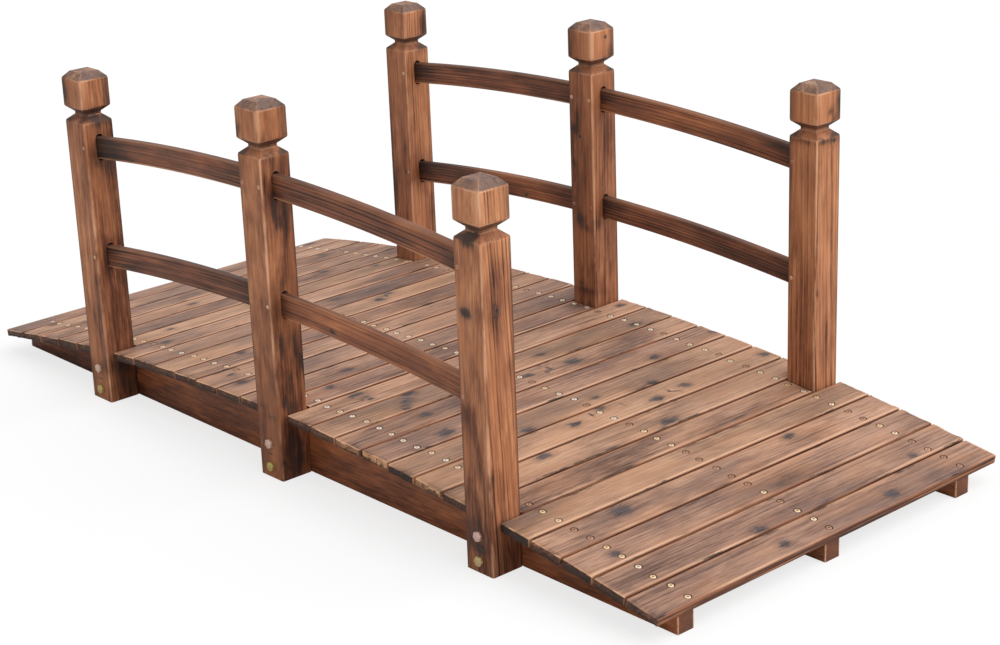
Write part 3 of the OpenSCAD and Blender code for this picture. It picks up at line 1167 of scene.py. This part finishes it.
def crater_cutter(places):
    """One mesh with a shallow cone for each screw of a plank."""
    bpy.ops.object.select_all(action="DESELECT")
    cones = []
    for x, y in places:
        bpy.ops.mesh.primitive_cone_add(vertices=CRATER_SIDES, radius1=CRATER_RADIUS - CRATER_SLOPE,
                                        radius2=CRATER_RADIUS + CRATER_SLOPE, depth=2 * CRATER_DEPTH,
                                        location=(x, y, BOARD_THICKNESS / 2))
        cones.append(bpy.context.object)
    for cone in cones:
        cone.select_set(True)
    bpy.ops.object.join()
    return apply_place(bpy.context.object)


def in_crater(co, places):
    """True for the floor of a crater, below the plank's top."""
    deep = BOARD_THICKNESS / 2 - co.z > 0.5 * CRATER_DEPTH
    return deep and any(math.hypot(co.x - x, co.y - y) < CRATER_RADIUS for x, y in places)


# %% [markdown]
# ### Uneven ends and waves
#
# No sawn end is quite square, and the planks' lengths differ by a few millimetres, so each end
# is moved and turned in edit mode. Then two Displace modifiers work with a cloud texture: one
# gives the whole plank slow waves, the other chips its ends. Both read the plank's place on
# the bridge, so that no two planks are alike.

# %% Saw and roughen
END_ZONE = 5 * MM
SHORTEST = 3.5 * MM
OFF_SQUARE = math.radians(1.5)
WAVE_HEIGHT = 0.5 * MM
CHIP_ZONE = 3 * MM
CHIP_HEIGHT = 2.2 * MM


def clouds(name, size):
    texture = bpy.data.textures.new(name, "CLOUDS")
    texture.noise_scale = size
    texture.noise_depth = 2
    return texture


WAVES = clouds("waves", 70 * MM)
CHIPS = clouds("dark_edge_spots", 9 * MM)


def saw_ends(plank, half):
    """Shortens each end of a plank a little and turns it off square."""
    with editing(plank):
        for side in (-1, 1):
            pick(plank, "VERT", lambda vertex: side * vertex.co.y > half - END_ZONE)
            bpy.ops.transform.translate(value=(0, -side * saw_luck.uniform(0, SHORTEST), 0))
            bpy.ops.transform.rotate(value=saw_luck.uniform(-OFF_SQUARE, OFF_SQUARE), orient_axis="Z",
                                     center_override=(0, side * half, 0))


def roughen(plank, half):
    """Waves and chips a plank that is already in its place, and leaves both in its mesh."""
    ends = plank.vertex_groups.new(name="ends")
    chipped = [vertex.index for vertex in plank.data.vertices if abs(vertex.co.y) > half - CHIP_ZONE]
    ends.add(chipped, 1.0, "REPLACE")
    bpy.context.view_layer.update()
    add_modifier(plank, "DISPLACE", texture=WAVES, texture_coords="GLOBAL", strength=WAVE_HEIGHT,
                 mid_level=1.0)
    add_modifier(plank, "DISPLACE", texture=CHIPS, texture_coords="GLOBAL", strength=CHIP_HEIGHT,
                 mid_level=1.0, vertex_group="ends")
    apply_modifiers(plank)


# %% [markdown]
# ### Laying the deck
#
# A plank is drilled, dressed and sawn while it lies flat at the origin, where its sizes are
# simple. Only then is it turned to the slope of the arch and moved to its place.

# %% Lay the deck


def lay_plank(node, number):
    low, high = deck_boxes[node]
    middle = (low + high) / 2
    angle = math.asin(middle.x / (ARCH_RADIUS + BOARD_THICKNESS / 2))
    width = plank_width(lengths[node])
    half = lengths[node] / 2
    plank = copy_of(long_blank if width == BOARD_WIDTH else short_blank, f"plank_{number:02d}")
    places = scatter_screws(number, middle.y)
    cut_away(plank, crater_cutter(places))

    knots = plank_knots(number, middle.y)
    burns_and_shade = plank_burns(number, width, half, middle.y)
    heart = (luck.choice((-1, 1)) * luck.uniform(0.03, 0.1), luck.choice((-1, 1)) * luck.uniform(0.02, 0.07))
    lean = (luck.uniform(-0.012, 0.012), luck.uniform(-0.012, 0.012))
    dress(plank, lambda co: (co.x, co.y, co.z - BOARD_THICKNESS / 2), (width / 2, half, 0),
          heart, lean, SEEN_TONES[number - 1], knots, burns_and_shade)
    store(plank, "pit", [float(in_crater(vertex.co, places)) for vertex in plank.data.vertices])
    store(plank, "sawn", SEEN_ENDS.get(number, UNSEEN_END))
    store(plank, "edge_burn", REAR_EDGE_DARKNESS if number <= LAST_BURNT else FRONT_EDGE_DARKNESS)

    saw_ends(plank, half)
    plank.location = middle
    plank.rotation_euler.y = angle
    roughen(plank, half)
    apply_place(plank)
    smooth(plank, 40)
    finish_piece(plank, "deck_wood", node)
    return plank, middle, angle


planks = {number: lay_plank(node, number) for number, node in enumerate(deck_nodes, start=1)}
remove(long_blank)
remove(short_blank)
print(f"{len(planks)} planks, {sum(faces(plank) for plank, _, _ in planks.values())} faces in all")

# %% [markdown]
# ## Posts
#
# A post starts as a square stick up to its shoulder. Extruding and scaling its top face
# gives the groove, the head and the sloped cap in five steps, as a turner would mark them
# off. The upright edges are rounded more than the rest, and the mortises are cut last.

# %% Post blanks
ARRIS = 2.6 * MM
SHOULDER_ROUND = 2.2 * MM
HEAD_EASE = 1.8 * MM
SMALL_EASE = 1.2 * MM
SHAFT_CUTS = 84
SIDE_CUTS = 10
HEAD_STEPS = 3


def raise_top(step, width_ratio=1):
    """Extrudes the selected top upwards and scales it about the post's own axis."""
    bpy.ops.mesh.extrude_region_move(TRANSFORM_OT_translate={"value": (0, 0, step)})
    if width_ratio != 1:
        bpy.ops.transform.resize(value=(width_ratio, width_ratio, 1))


def post_blank(name, height):
    shoulder = height - GROOVE_END
    neck = (POST_WIDTH - 2 * GROOVE_DEPTH) / POST_WIDTH
    cap = (POST_WIDTH - 2 * HEAD_INSET) / POST_WIDTH
    post = block(name, (POST_WIDTH, POST_WIDTH, shoulder), (0, 0, shoulder / 2))
    with editing(post):
        for axis, cuts in ((2, SHAFT_CUTS), (0, SIDE_CUTS), (1, SIDE_CUTS)):
            cut_across(post, axis, cuts)
        pick(post, "FACE", lambda face: face.normal.z > FACING)
        raise_top(GROOVE_SLOPE, neck)
        raise_top(GROOVE_FLOOR)
        raise_top(GROOVE_SLOPE, 1 / neck)
        for _ in range(HEAD_STEPS):
            raise_top(HEAD_SIDE / HEAD_STEPS)
        raise_top(HEAD_CAP, cap)
        pick(post, "EDGE", at_corners(POST_WIDTH / 2, POST_WIDTH / 2))
        bpy.ops.mesh.bevel(offset=ARRIS, segments=4, affect="EDGES")
        eases = {GROOVE_END: SHOULDER_ROUND, GROOVE_TOP: HEAD_EASE, HEAD_CAP: HEAD_EASE}
        for down, ease in eases.items():
            pick(post, "EDGE", lambda edge: all(abs(height - down - v.co.z) < HAIR for v in edge.verts))
            bpy.ops.mesh.bevel(offset=ease, segments=3, affect="EDGES")
    return ease_edges(post, SMALL_EASE, 2, 32)


# %% [markdown]
# ### Mortises
#
# A mortise is cut by a slot of its own shape that sticks out of the post a little. The rails
# meet the posts where their arcs say, so one small sum, the height of an arc above a place,
# gives the middle of each mortise and the place of each screw that pins a rail.

# %% Mortises
FACE = POST_WIDTH / 2
CUTTER_OVERRUN = 5 * MM
MORTISE_SEGMENTS = 10


def mortise_cutter(face_x, centre_z):
    """A round ended slot, as deep as the rail's seat."""
    width = RAIL_THICKNESS + 2 * MORTISE_SIDE_GAP
    height = RAIL_HEIGHT + 2 * MORTISE_END_GAP
    depth = MORTISE_DEPTH + CUTTER_OVERRUN
    inward = -1 if face_x > 0 else 1
    slot = block("slot", (depth, width, height), (face_x + inward * (MORTISE_DEPTH - depth / 2), 0, centre_z))
    with editing(slot):
        pick(slot, "EDGE", runs_along(0))
        bpy.ops.mesh.bevel(offset=width / 2 - HAIR, segments=MORTISE_SEGMENTS, affect="EDGES")
    return slot


def drop_of_arc(x):
    """How far a rail's top is below the crown of its arc."""
    return RAIL_RADIUS - math.sqrt(RAIL_RADIUS ** 2 - x ** 2)


rail_crowns = {level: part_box(f"left_rear_{level}_rail")[1].z + drop_of_arc(FACE - MORTISE_DEPTH)
               for level in ("upper", "lower")}
print("crowns of the rails:", {level: round(z, 4) for level, z in rail_crowns.items()})

# %% [markdown]
# ### The posts' own marks
#
# Each post was cut from its log in its own way, and the torch stayed longer at some places. As
# with the planks, these marks were judged where the photograph shows them well.

# %% Knots, rings, soot and painted shade
BOLT_STAIN_AND_SHADE = 4.8 * MM
# Knots: across, along, through, radius, stretch and the branch's axis.
POST_KNOTS = {
    "left_front_post": [(-6.5 * MM, 351 * MM, -FACE, 9.5 * MM, 0.75, THROUGH),
                        (FACE, 356 * MM, -3 * MM, 2.2 * MM, 1.4, ACROSS)],
    "right_middle_post": [(-2 * MM, 372 * MM, -FACE, 2.6 * MM, 1.0, THROUGH),
                          (FACE, 527 * MM, 6 * MM, 2.4 * MM, 1.0, ACROSS)],
    "right_front_post": [(FACE, 440 * MM, 12 * MM, 2.4 * MM, 1.0, ACROSS)],
}
# How each post was cut from its log: heart, lean, boldness of the rings and tone.
POST_FIGURE = {
    "left_front_post": ((-12 * MM, -70 * MM), (0.02, -0.05), 0.85, 0.25),
    "left_middle_post": ((-60 * MM, 50 * MM), (0.01, 0.02), 0.4, 0.55),
    "left_rear_post": ((-50 * MM, 55 * MM), (0.01, -0.01), 0.6, 0.5),
    "right_front_post": ((-60 * MM, -60 * MM), (0.01, -0.02), 1.0, 0.2),
    "right_middle_post": ((-40 * MM, -60 * MM), (0.01, 0.02), 0.75, 0.75),
    "right_rear_post": ((30 * MM, -60 * MM), (0.01, 0.01), 0.65, 0.5),
}
# Where the torch stayed longer on each post, in mm as a burn gives it. A minus sign is a place
# that was brushed pale.
SOOT = {
    "left_front_post": [
        (-10, 40, -25, 40, 60, 0.22), (-20, 430, -25, 14, 30, 0.4), (2, 451, -20, 13, 13, 1.3),
        (25, 446, 8, 22, 30, -0.7), (25, 356, -3, 5, 10, 0.5), (25, 136, -20, 3.5, 16, 0.8),
        (25, 110, -20, 4, 14, 0.7), (1, 35, -25, 10, 6, 0.8), (25, 330, -4, 9, 170, 0.6),
        (25, 300, 17, 5, 180, -0.3), (-6, 351, -25, 6, 6, 0.5)],
    "left_middle_post": [
        (25, 230, 0, 30, 260, 0.62), (25, 400, -4, 13, 26, 0.3), (25, 376, 2, 7, 9, 0.35),
        (25, 386, -8, 4, 16, 0.3), (25, 394, 8, 4, 20, 0.25), (25, 434, -19, 7, 18, 0.4),
        (25, 416, -13, 6, 10, 0.3), (25, 250, -15, 4, 20, 0.3), (25, 199, -11, 2.4, 20, 0.9),
        (25, 202, 13, 2.2, 16, 0.4), (25, 185, 14, 2.4, 5, 0.6), (25, 195, 1, 7, 26, -0.25),
        (25, 176, 19, 2.4, 6, 0.8), (25, 163, 23, 2.4, 9, 0.9), (25, 148, 24.5, 2.2, 10, 0.7),
        (25, 116, -14, 5, 9, 0.5), (25, 108, 4, 14, 7, 0.35), (25, 28, -21, 2, 2.2, 0.8),
        (25, 18, -10, 2, 2.2, 0.8), (25, 50, 4, 12, 40, 0.25), (-6, 384, -25, 16, 12, 0.4),
        (0, 90, -25, 34, 34, 0.35), (-12, 107, -25, 16, 5, 0.35), (8, 94, -25, 14, 4, 0.35),
        (-25, 510, -25, 18, 18, 0.6)],
    "left_rear_post": [
        (25, 230, 4, 30, 260, 0.4), (25, 395, 4, 22, 34, 0.6), (25, 330, 22, 8, 110, 0.4),
        (16, 451, 0, 14, 12, 0.8), (-16, 130, -25, 14, 34, 0.4), (-25, 495, -25, 16, 22, 0.6),
        (25, 60, 0, 26, 12, 0.4)],
    "right_front_post": [
        (-25, 380, -25, 12, 60, 0.4), (25, 500, 25, 16, 16, 0.6), (25, 222, -21, 1.8, 6, 0.9),
        (25, 152, 2, 3, 26, 0.6), (25, 486, -3, 2, 8, 0.5), (25, 446, -13, 3, 6, 0.5),
        (-4, 442, -20, 22, 6, 0.7), (22, 442, 0, 22, 6, 0.6), (25, 482, 3, 5, 8, 0.9),
        (25, 474, 10, 5, 8, 0.8), (25, 478, 24, 6, 20, 0.6), (0, 190, -25, 26, 100, 0.35),
        (4, 340, -25, 12, 80, -0.25), (25, 300, 22, 6, 180, -0.4)],
    "right_middle_post": [
        (-4, 260, -25, 26, 190, 0.42), (-14, 425, -25, 2.5, 22, 0.6), (-8, 402, -25, 2.5, 16, 0.6),
        (-14, 383, -25, 9, 7, 0.8), (-18, 328, -25, 3, 5, 0.8), (-17, 262, -25, 8, 18, 0.5),
        (-4, 238, -25, 13, 12, 0.5), (11, 225, -25, 11, 7, 0.6), (15, 258, -25, 2, 2.6, 1.0),
        (25, 236, -19, 7, 8, 0.5), (2, 122, -25, 20, 6, 0.65), (-8, 134, -25, 12, 5, 0.4),
        (25, 400, -14, 6, 14, 0.5), (25, 500, 10, 20, 12, 0.5)],
    "right_rear_post": [
        (-25, 200, -25, 14, 90, 0.6), (14, 236, -25, 3, 4, 1.1), (9, 262, -25, 5, 24, 0.4),
        (25, 455, 20, 14, 14, 0.6), (25, 492, 14, 8, 16, 0.4)],
}


def post_knots(node, outer_y):
    """The knots as seen, dark rings round the bolts of stain and painted shade, and one knot by luck on the
    rear face.
    """
    knots = list(POST_KNOTS.get(node, []))
    # Dark rings round the bolt heads: stain, with their shade painted in.
    knots += [(0, z, outer_y, BOLT_STAIN_AND_SHADE, 1.0, THROUGH) for z in BOLT_HEIGHTS]
    knots.append((-FACE, luck.uniform(0.15, 0.4), FACE * luck.uniform(0, 0.6), luck.uniform(2.6, 4) * MM,
                  1.5, ACROSS))
    return knots


def post_soot_and_shade(node):
    """The soot as seen, a darker patch at the foot of the -Y face, and painted shade round every foot, most
    on the +X face.
    """
    burns_and_shade = [tuple(size * MM for size in spot[:5]) + spot[5:] for spot in SOOT[node]]
    burns_and_shade.append((luck.uniform(-1, 1) * FACE, luck.uniform(0, 60) * MM, -FACE, 30 * MM, 30 * MM, 0.4))
    # Painted shade round the foot of every post.
    burns_and_shade.append((0, 10 * MM, 0, 90 * MM, 60 * MM, 0.2))
    # More painted shade at the foot of the +X face.
    burns_and_shade.append((FACE, 20 * MM, 4 * MM, 24 * MM, 40 * MM, 0.32))
    return burns_and_shade


print(f"{sum(map(len, SOOT.values()))} spots of soot on {len(SOOT)} posts")

# %% [markdown]
# ### Standing the posts
#
# A post has mortises only on the sides where another post follows. Its cutter is used once
# for each rail, and the place of the screw that will pin that rail is noted on the way.

# %% Stand the posts
INTO_BAY = 200 * MM
RAIL_PIN_OFFSET = 19 * MM
RAIL_PIN_DROP = 15 * MM
PIN_PLATING = (0.5, 0.84)
pin_places = []
post_boxes = {node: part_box(node) for node in post_nodes}
post_reach = sum(corner.x for corner in post_boxes["left_front_post"]) / 2


def stand_post(node):
    low, high = post_boxes[node]
    middle_x = (low.x + high.x) / 2
    middle_y = (low.y + high.y) / 2
    post = post_blank(node + "_timber", high.z)
    for side in (-1, 1):
        if abs(middle_x + side * INTO_BAY) >= post_reach:
            continue
        for crown in rail_crowns.values():
            rail_top = crown - drop_of_arc(middle_x + side * FACE)
            cut_away(post, mortise_cutter(side * FACE, rail_top - RAIL_HEIGHT / 2))
            pin_places.append((middle_x + side * RAIL_PIN_OFFSET, low.y, rail_top - RAIL_PIN_DROP,
                               luck.uniform(*PIN_PLATING)))

    heart, lean, figure, tone = POST_FIGURE[node]
    knots = post_knots(node, math.copysign(FACE, middle_y))
    dress(post, lambda co: (co.x, co.z, co.y), (FACE, 0, FACE), heart, lean, tone, knots,
          post_soot_and_shade(node), start=high.z, figure=figure)
    post.location = (middle_x, middle_y, 0)
    apply_place(post)
    smooth(post, 35)
    finish_piece(post, "post_wood", node)
    return post


posts = [stand_post(node) for node in post_nodes]
print(f"{len(posts)} posts, {faces(posts[0])} faces in the first; {len(pin_places)} rail pins")

# %% [markdown]
# ## Rails
#
# A rail is a lath bent to an arc. Its section is drawn once and spun about the centre of
# the arc, which is far below the ground, so that every slice stays square to the bend.

# %% Bend the rails
RAIL_STEPS = 28
RAIL_EASE = 2 * MM
RAIL_MIDDLE = RAIL_RADIUS - RAIL_HEIGHT / 2
SLICE = 1 * MM
START_GAP = 0.3 * MM
END_GAP = 2.5 * MM


def bent_lath(name, centre, start_x, end_x, sign):
    """Spins a rail's section from one x to another. Sign is 1 towards the front and -1 back."""
    first = math.asin(start_x / RAIL_MIDDLE)
    sweep = math.asin(end_x / RAIL_MIDDLE) - first
    lath = block(name, (SLICE, RAIL_THICKNESS, RAIL_HEIGHT), (0, centre.y, 0))
    with editing(lath):
        pick(lath, "FACE", lambda face: face.normal.x < FACING)
        bpy.ops.mesh.delete(type="FACE")
        pick(lath, "VERT", lambda vertex: True)
        bpy.ops.transform.translate(value=(-SLICE / 2, 0, centre.z + RAIL_MIDDLE))
        # With no window, the operator turns the other way, hence the minus sign.
        bpy.ops.transform.rotate(value=-sign * first, orient_axis="Y", center_override=centre)
        bpy.ops.mesh.spin(steps=RAIL_STEPS, angle=sweep, center=centre, axis=(0, -sign, 0))
        bpy.ops.mesh.select_all(action="SELECT")
        bpy.ops.mesh.remove_doubles(threshold=HAIR / 10)
        bpy.ops.mesh.normals_make_consistent(inside=False)
    return ease_edges(lath, RAIL_EASE, 3, 60)


# %% [markdown]
# Each rail has its own tone, and is darker where it meets a post.

# %% Dress and place the rails
RAIL_END_DARKENING = 0.7
END_DARKENING_REACH = 80 * MM
# How dark each rail has come out, from 0 to 1.
RAIL_TONES = {
    "left_rear_upper_rail": 0.95, "left_rear_lower_rail": 0.55,
    "left_front_upper_rail": 0.3, "left_front_lower_rail": 0.05,
    "right_rear_upper_rail": 0.9, "right_rear_lower_rail": 0.7,
    "right_front_upper_rail": 0.45, "right_front_lower_rail": 0.6,
}


def place_rail(node):
    low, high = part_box(node)
    level = "upper" if "upper" in node else "lower"
    centre = Vector((0, (low.y + high.y) / 2, rail_crowns[level] - RAIL_RADIUS))
    start_x = min(abs(low.x), abs(high.x)) + START_GAP
    end_x = max(abs(low.x), abs(high.x)) - END_GAP
    sign = 1 if high.x > 0 else -1
    rail = bent_lath(node.replace("_rail", "_lath"), centre, start_x, end_x, sign)

    def local(co):
        out = Vector((co.x, co.z - centre.z))
        return out.length - RAIL_MIDDLE, math.atan2(co.x, co.z - centre.z) * RAIL_MIDDLE, co.y - centre.y

    knots = []
    for _ in range(2):
        knots.append((luck.uniform(-0.012, 0.012), sign * luck.uniform(0.05, 0.4), -RAIL_THICKNESS / 2,
                      luck.uniform(1.4, 2.4) * MM, luck.uniform(1.4, 2.6), THROUGH))
    heart = (luck.choice((-1, 1)) * luck.uniform(0.03, 0.06), luck.uniform(-0.02, 0.02))
    lean = (luck.uniform(-0.01, 0.01), luck.uniform(-0.02, 0.02))
    burns_and_shade = [(0, sign * end, 0, 2 * RAIL_HEIGHT, END_DARKENING_REACH, RAIL_END_DARKENING) for end in (start_x, end_x)]
    dress(rail, local, (RAIL_HEIGHT / 2, RAIL_RADIUS, RAIL_THICKNESS / 2), heart, lean, RAIL_TONES[node],
          knots, burns_and_shade)
    smooth(rail, 35)
    finish_piece(rail, "rail_wood", node)
    reach = [vertex.co.x for vertex in rail.data.vertices]
    print(f"{node} from x = {min(reach):.3f} to {max(reach):.3f} m, {faces(rail)} faces")


for node in rail_nodes:
    place_rail(node)

# %% [markdown]
# ## Screws and bolts
#
# A screw's head is a flat disc with a rounded rim and a cross recess. The cross is made from
# a ring of twelve points, by drawing in the points between the four arms. The same head,
# scaled down, pins the rails. The bolts have hexagon heads.

# %% The screw head
HEAD_SIDES = 12
HEAD_HEIGHT = 1.2 * MM
RIM_WIDTH = 0.5 * MM
RIM_RISE = 0.25 * MM
FLAT_WIDTH = 1.3 * MM
FLAT_RISE = 0.05 * MM
CROSS_RADIUS = 2.2 * MM
CROSS_WAIST = 0.45
RECESS_DEPTH = 0.8 * MM


def in_cross(co):
    return co.z > 0 and co.xy.length < CROSS_RADIUS


def screw_head(name):
    head = rod(name, HEAD_SIDES, HEAD_RADIUS, HEAD_HEIGHT, (0, 0, -HEAD_HEIGHT / 2))
    with editing(head):
        pick(head, "FACE", lambda face: face.normal.z > FACING)
        bpy.ops.mesh.inset(thickness=RIM_WIDTH, depth=RIM_RISE)
        bpy.ops.mesh.inset(thickness=FLAT_WIDTH, depth=FLAT_RISE)
        pick(head, "VERT", lambda vertex: in_cross(vertex.co)
             and abs(math.sin(2 * math.atan2(vertex.co.y, vertex.co.x))) > 0.5)
        bpy.ops.transform.resize(value=(CROSS_WAIST, CROSS_WAIST, 1))
        pick(head, "FACE", lambda face: all(in_cross(vertex.co) for vertex in face.verts))
        bpy.ops.mesh.extrude_region_move(TRANSFORM_OT_translate={"value": (0, 0, -RECESS_DEPTH)})
        bpy.ops.mesh.select_all(action="SELECT")
        bpy.ops.mesh.normals_make_consistent(inside=False)
    return head


# %% [markdown]
# A head is drawn once, at the origin. Each copy gets its own tone of plating while it is still
# there, and a matrix then carries its mesh to its place. The heads of one row are joined into
# one piece.

# %% Place the deck screws
PIT_RADIUS = 1.5 * MM
HEAD_SINK = 0.6 * MM


def join_all(pieces, name):
    bpy.ops.object.select_all(action="DESELECT")
    for piece in pieces:
        piece.select_set(True)
    bpy.context.view_layer.objects.active = pieces[0]
    bpy.ops.object.join()
    joined = bpy.context.object
    joined.name = name
    joined.data.name = name
    return joined


def place_head(master, where, tone, scale=1.0):
    """A copy of a head, put where a matrix says, with its own tone of plating."""
    head = copy_of(master, "head")
    head.data.transform(Matrix.Scale(scale, 4))
    store(head, "tone", tone)
    store(head, "pit", [float(vertex.co.xy.length < PIT_RADIUS * scale) for vertex in head.data.vertices])
    head.data.transform(where)
    return head


head = screw_head("screw_head")
for side, places in screw_places.items():
    heads = []
    for number, x, y, turn, tone in places:
        _, middle, angle = planks[number]
        seat = Matrix.Translation(middle) @ Matrix.Rotation(angle, 4, "Y")
        seat = seat @ Matrix.Translation((x, y, BOARD_THICKNESS / 2 - HEAD_SINK))
        heads.append(place_head(head, seat @ Matrix.Rotation(turn, 4, "Z"), tone))
    row = join_all(heads, f"deck_screws_{side}")
    smooth(row, 30)
    finish_piece(row, "zinc_fixings")
print(f"{sum(len(p) for p in screw_places.values())} deck screws of {faces(head)} faces")

# %% [markdown]
# The screws that pin the rails go in from the left face of each post, so the same head is
# made smaller and turned to look that way.

# %% Rail pins
PIN_SCALE = 0.72
PIN_SINK = 0.1 * MM
pins = []
for x, y, z, tone in pin_places:
    seat = Matrix.Translation((x, y + PIN_SINK, z)) @ Matrix.Rotation(math.pi / 2, 4, "X")
    pins.append(place_head(head, seat, tone, PIN_SCALE))
pin_row = smooth(join_all(pins, "rail_screws"), 30)
finish_piece(pin_row, "zinc_fixings")
remove(head)
print(f"{len(pin_places)} rail screws")

# %% [markdown]
# ### Bolts
#
# Two bolts go through each post and the stringer beside it. Outside there is a hexagon head,
# and inside a washer and a nut. The shank fills the hole between them.

# %% Bolts
BOLT_RADIUS = 3 * MM
BOLT_SIDES = 16
HEX_RADIUS = 7.2 * MM
HEX_HEIGHT = 4.5 * MM
NUT_HEIGHT = 4.6 * MM
WASHER_RADIUS = 9 * MM
WASHER_HEIGHT = 1.2 * MM
WASHER_SIDES = 20
SHANK_BEYOND = 8.5 * MM
SHANK_IN_HEAD = 0.5 * MM
DISC_EASE = 0.12
UPPER_BOLT_PLATING = (0.84, 0.9)
LOWER_BOLT_PLATING = (0.9, 1.0)


def disc(name, sides, radius, height, base):
    """A many-sided disc standing on z = base, with its rims eased."""
    piece = rod(name, sides, radius, height, (0, 0, base + height / 2))
    with editing(piece):
        pick(piece, "FACE", lambda face: abs(face.normal.z) > FACING)
        bpy.ops.mesh.bevel(offset=min(radius, height) * DISC_EASE, segments=2, affect="EDGES")
    return piece


def bolt():
    """A bolt along +Z: its head stands on z = 0 and its shank goes down through post and stringer."""
    inner_face = -POST_WIDTH - STRINGER_THICKNESS
    tip = inner_face - SHANK_BEYOND
    washer_base = inner_face - WASHER_HEIGHT
    parts = [
        disc("head", 6, HEX_RADIUS, HEX_HEIGHT, 0),
        disc("shank", BOLT_SIDES, BOLT_RADIUS, SHANK_IN_HEAD - tip, tip),
        disc("washer", WASHER_SIDES, WASHER_RADIUS, WASHER_HEIGHT, washer_base),
        disc("nut", 6, HEX_RADIUS, NUT_HEIGHT, washer_base - NUT_HEIGHT),
    ]
    return join_all(parts, "bolt")


master = bolt()
bolts = []
for node in post_nodes:
    low, high = post_boxes[node]
    out = -1 if low.y < 0 else 1
    face_y = low.y if out < 0 else high.y
    for z in BOLT_HEIGHTS:
        seat = Matrix.Translation(((low.x + high.x) / 2, face_y, z))
        seat = seat @ Matrix.Rotation(-out * math.pi / 2, 4, "X")
        tone = luck.uniform(*(UPPER_BOLT_PLATING if z == max(BOLT_HEIGHTS) else LOWER_BOLT_PLATING))
        bolts.append(place_head(master, seat @ Matrix.Rotation(luck.uniform(0, 1), 4, "Z"), tone))
remove(master)
bolt_set = smooth(join_all(bolts, "post_bolts"), 30)
finish_piece(bolt_set, "zinc_fixings")
print(f"{2 * len(post_nodes)} bolts, {faces(bolt_set)} faces")

# %% [markdown]
# ## Camera
#
# The photograph looks down on the front end from the left, with a long lens. Its place, aim
# and tilt were worked out from the corners of the posts and planks.

# %% Camera
CAMERA_PLACE = Vector((2.36275, -1.98630, 1.24226))
CAMERA_AIM = Vector((0.07204, 0.04156, 0.150))
CAMERA_ROLL = math.radians(2.178)
CAMERA_LENS = 78.677
FILM_WIDTH = 36

camera_data = bpy.data.cameras.new("camera")
camera_data.lens = CAMERA_LENS
camera_data.sensor_width = FILM_WIDTH
camera_data.sensor_fit = "HORIZONTAL"
camera = bpy.data.objects.new("camera", camera_data)
bpy.context.scene.collection.objects.link(camera)
camera.location = CAMERA_PLACE
look = (CAMERA_AIM - CAMERA_PLACE).to_track_quat("-Z", "Y").to_matrix().to_4x4()
camera.rotation_euler = (look @ Matrix.Rotation(-CAMERA_ROLL, 4, "Z")).to_euler()
bpy.context.scene.camera = camera
print("camera", [round(v, 3) for v in camera.location])

# %% [markdown]
# ## Floor
#
# The bridge stands on white paper. A real sheet is lit until it is white in the picture, which
# would wash out the wood. Here most of its white is its own and only the camera sees it, so
# the wood gets no more light and the shadow stays soft.

# %% Floor
FLOOR_SIZE = 40
FLOOR_TINT = (232, 232, 232)
OWN_WHITE = 0.66
PAPER_WHITE = 1.13
WHITE = (1.0, 1.0, 1.0, 1.0)


def floor_material():
    material, tree = new_material("floor")
    paper = add_node(tree, "ShaderNodeBsdfDiffuse", {}, {"Color": tint(*FLOOR_TINT)})
    white = add_node(tree, "ShaderNodeEmission", {}, {"Color": WHITE, "Strength": PAPER_WHITE})
    seen = add_node(tree, "ShaderNodeLightPath", {}, {}, "Is Camera Ray") * OWN_WHITE
    surface = add_node(tree, "ShaderNodeMixShader", {}, {0: seen, 1: paper, 2: white})
    end_tree(tree, surface)
    return material


floor = started("floor", bpy.ops.mesh.primitive_plane_add, size=FLOOR_SIZE)
floor.data.materials.append(floor_material())
print("floor", FLOOR_SIZE, "m wide")

# %% [markdown]
# ## Light
#
# A white room lights the bridge evenly. A wide sun from above, in front and from its right
# side, leaves the near faces in half shade and throws a soft shadow to the left.

# %% Light
SKY_LIGHT = 0.52
SUN_LIGHT = 1.95
SUN_WIDTH = math.radians(70)
SUN_HEIGHT = math.radians(52)
SUN_TURN = math.radians(30)


def white_room(tree):
    """Lights the object evenly, and looks white to the camera and in gloss."""
    tree.nodes.clear()
    camera_ray, glossy_ray, clear_ray = (
        add_node(tree, "ShaderNodeLightPath", {}, {}, f"Is {kind} Ray")
        for kind in ("Camera", "Glossy", "Transmission"))
    seen = camera_ray.most(glossy_ray).most(clear_ray)
    strength = SKY_LIGHT + seen * (1 - SKY_LIGHT)
    room = add_node(tree, "ShaderNodeBackground", {}, {"Color": WHITE, "Strength": strength})
    end_tree(tree, room, "ShaderNodeOutputWorld")


world = bpy.data.worlds.new("studio")
world.use_nodes = True
white_room(world.node_tree)
bpy.context.scene.world = world

sun_data = bpy.data.lights.new("soft_sun", "SUN")
sun_data.energy = SUN_LIGHT
sun_data.angle = SUN_WIDTH
sun = bpy.data.objects.new("soft_sun", sun_data)
bpy.context.scene.collection.objects.link(sun)
level_reach = math.cos(SUN_HEIGHT)
toward_sun = Vector((level_reach * math.cos(SUN_TURN), level_reach * math.sin(SUN_TURN),
                     math.sin(SUN_HEIGHT)))
sun.rotation_euler = (-toward_sun).to_track_quat("-Z", "Y").to_euler()
print("sun", round(math.degrees(SUN_HEIGHT)), "degrees up")

bpy.context.scene.view_settings.view_transform = "Standard"
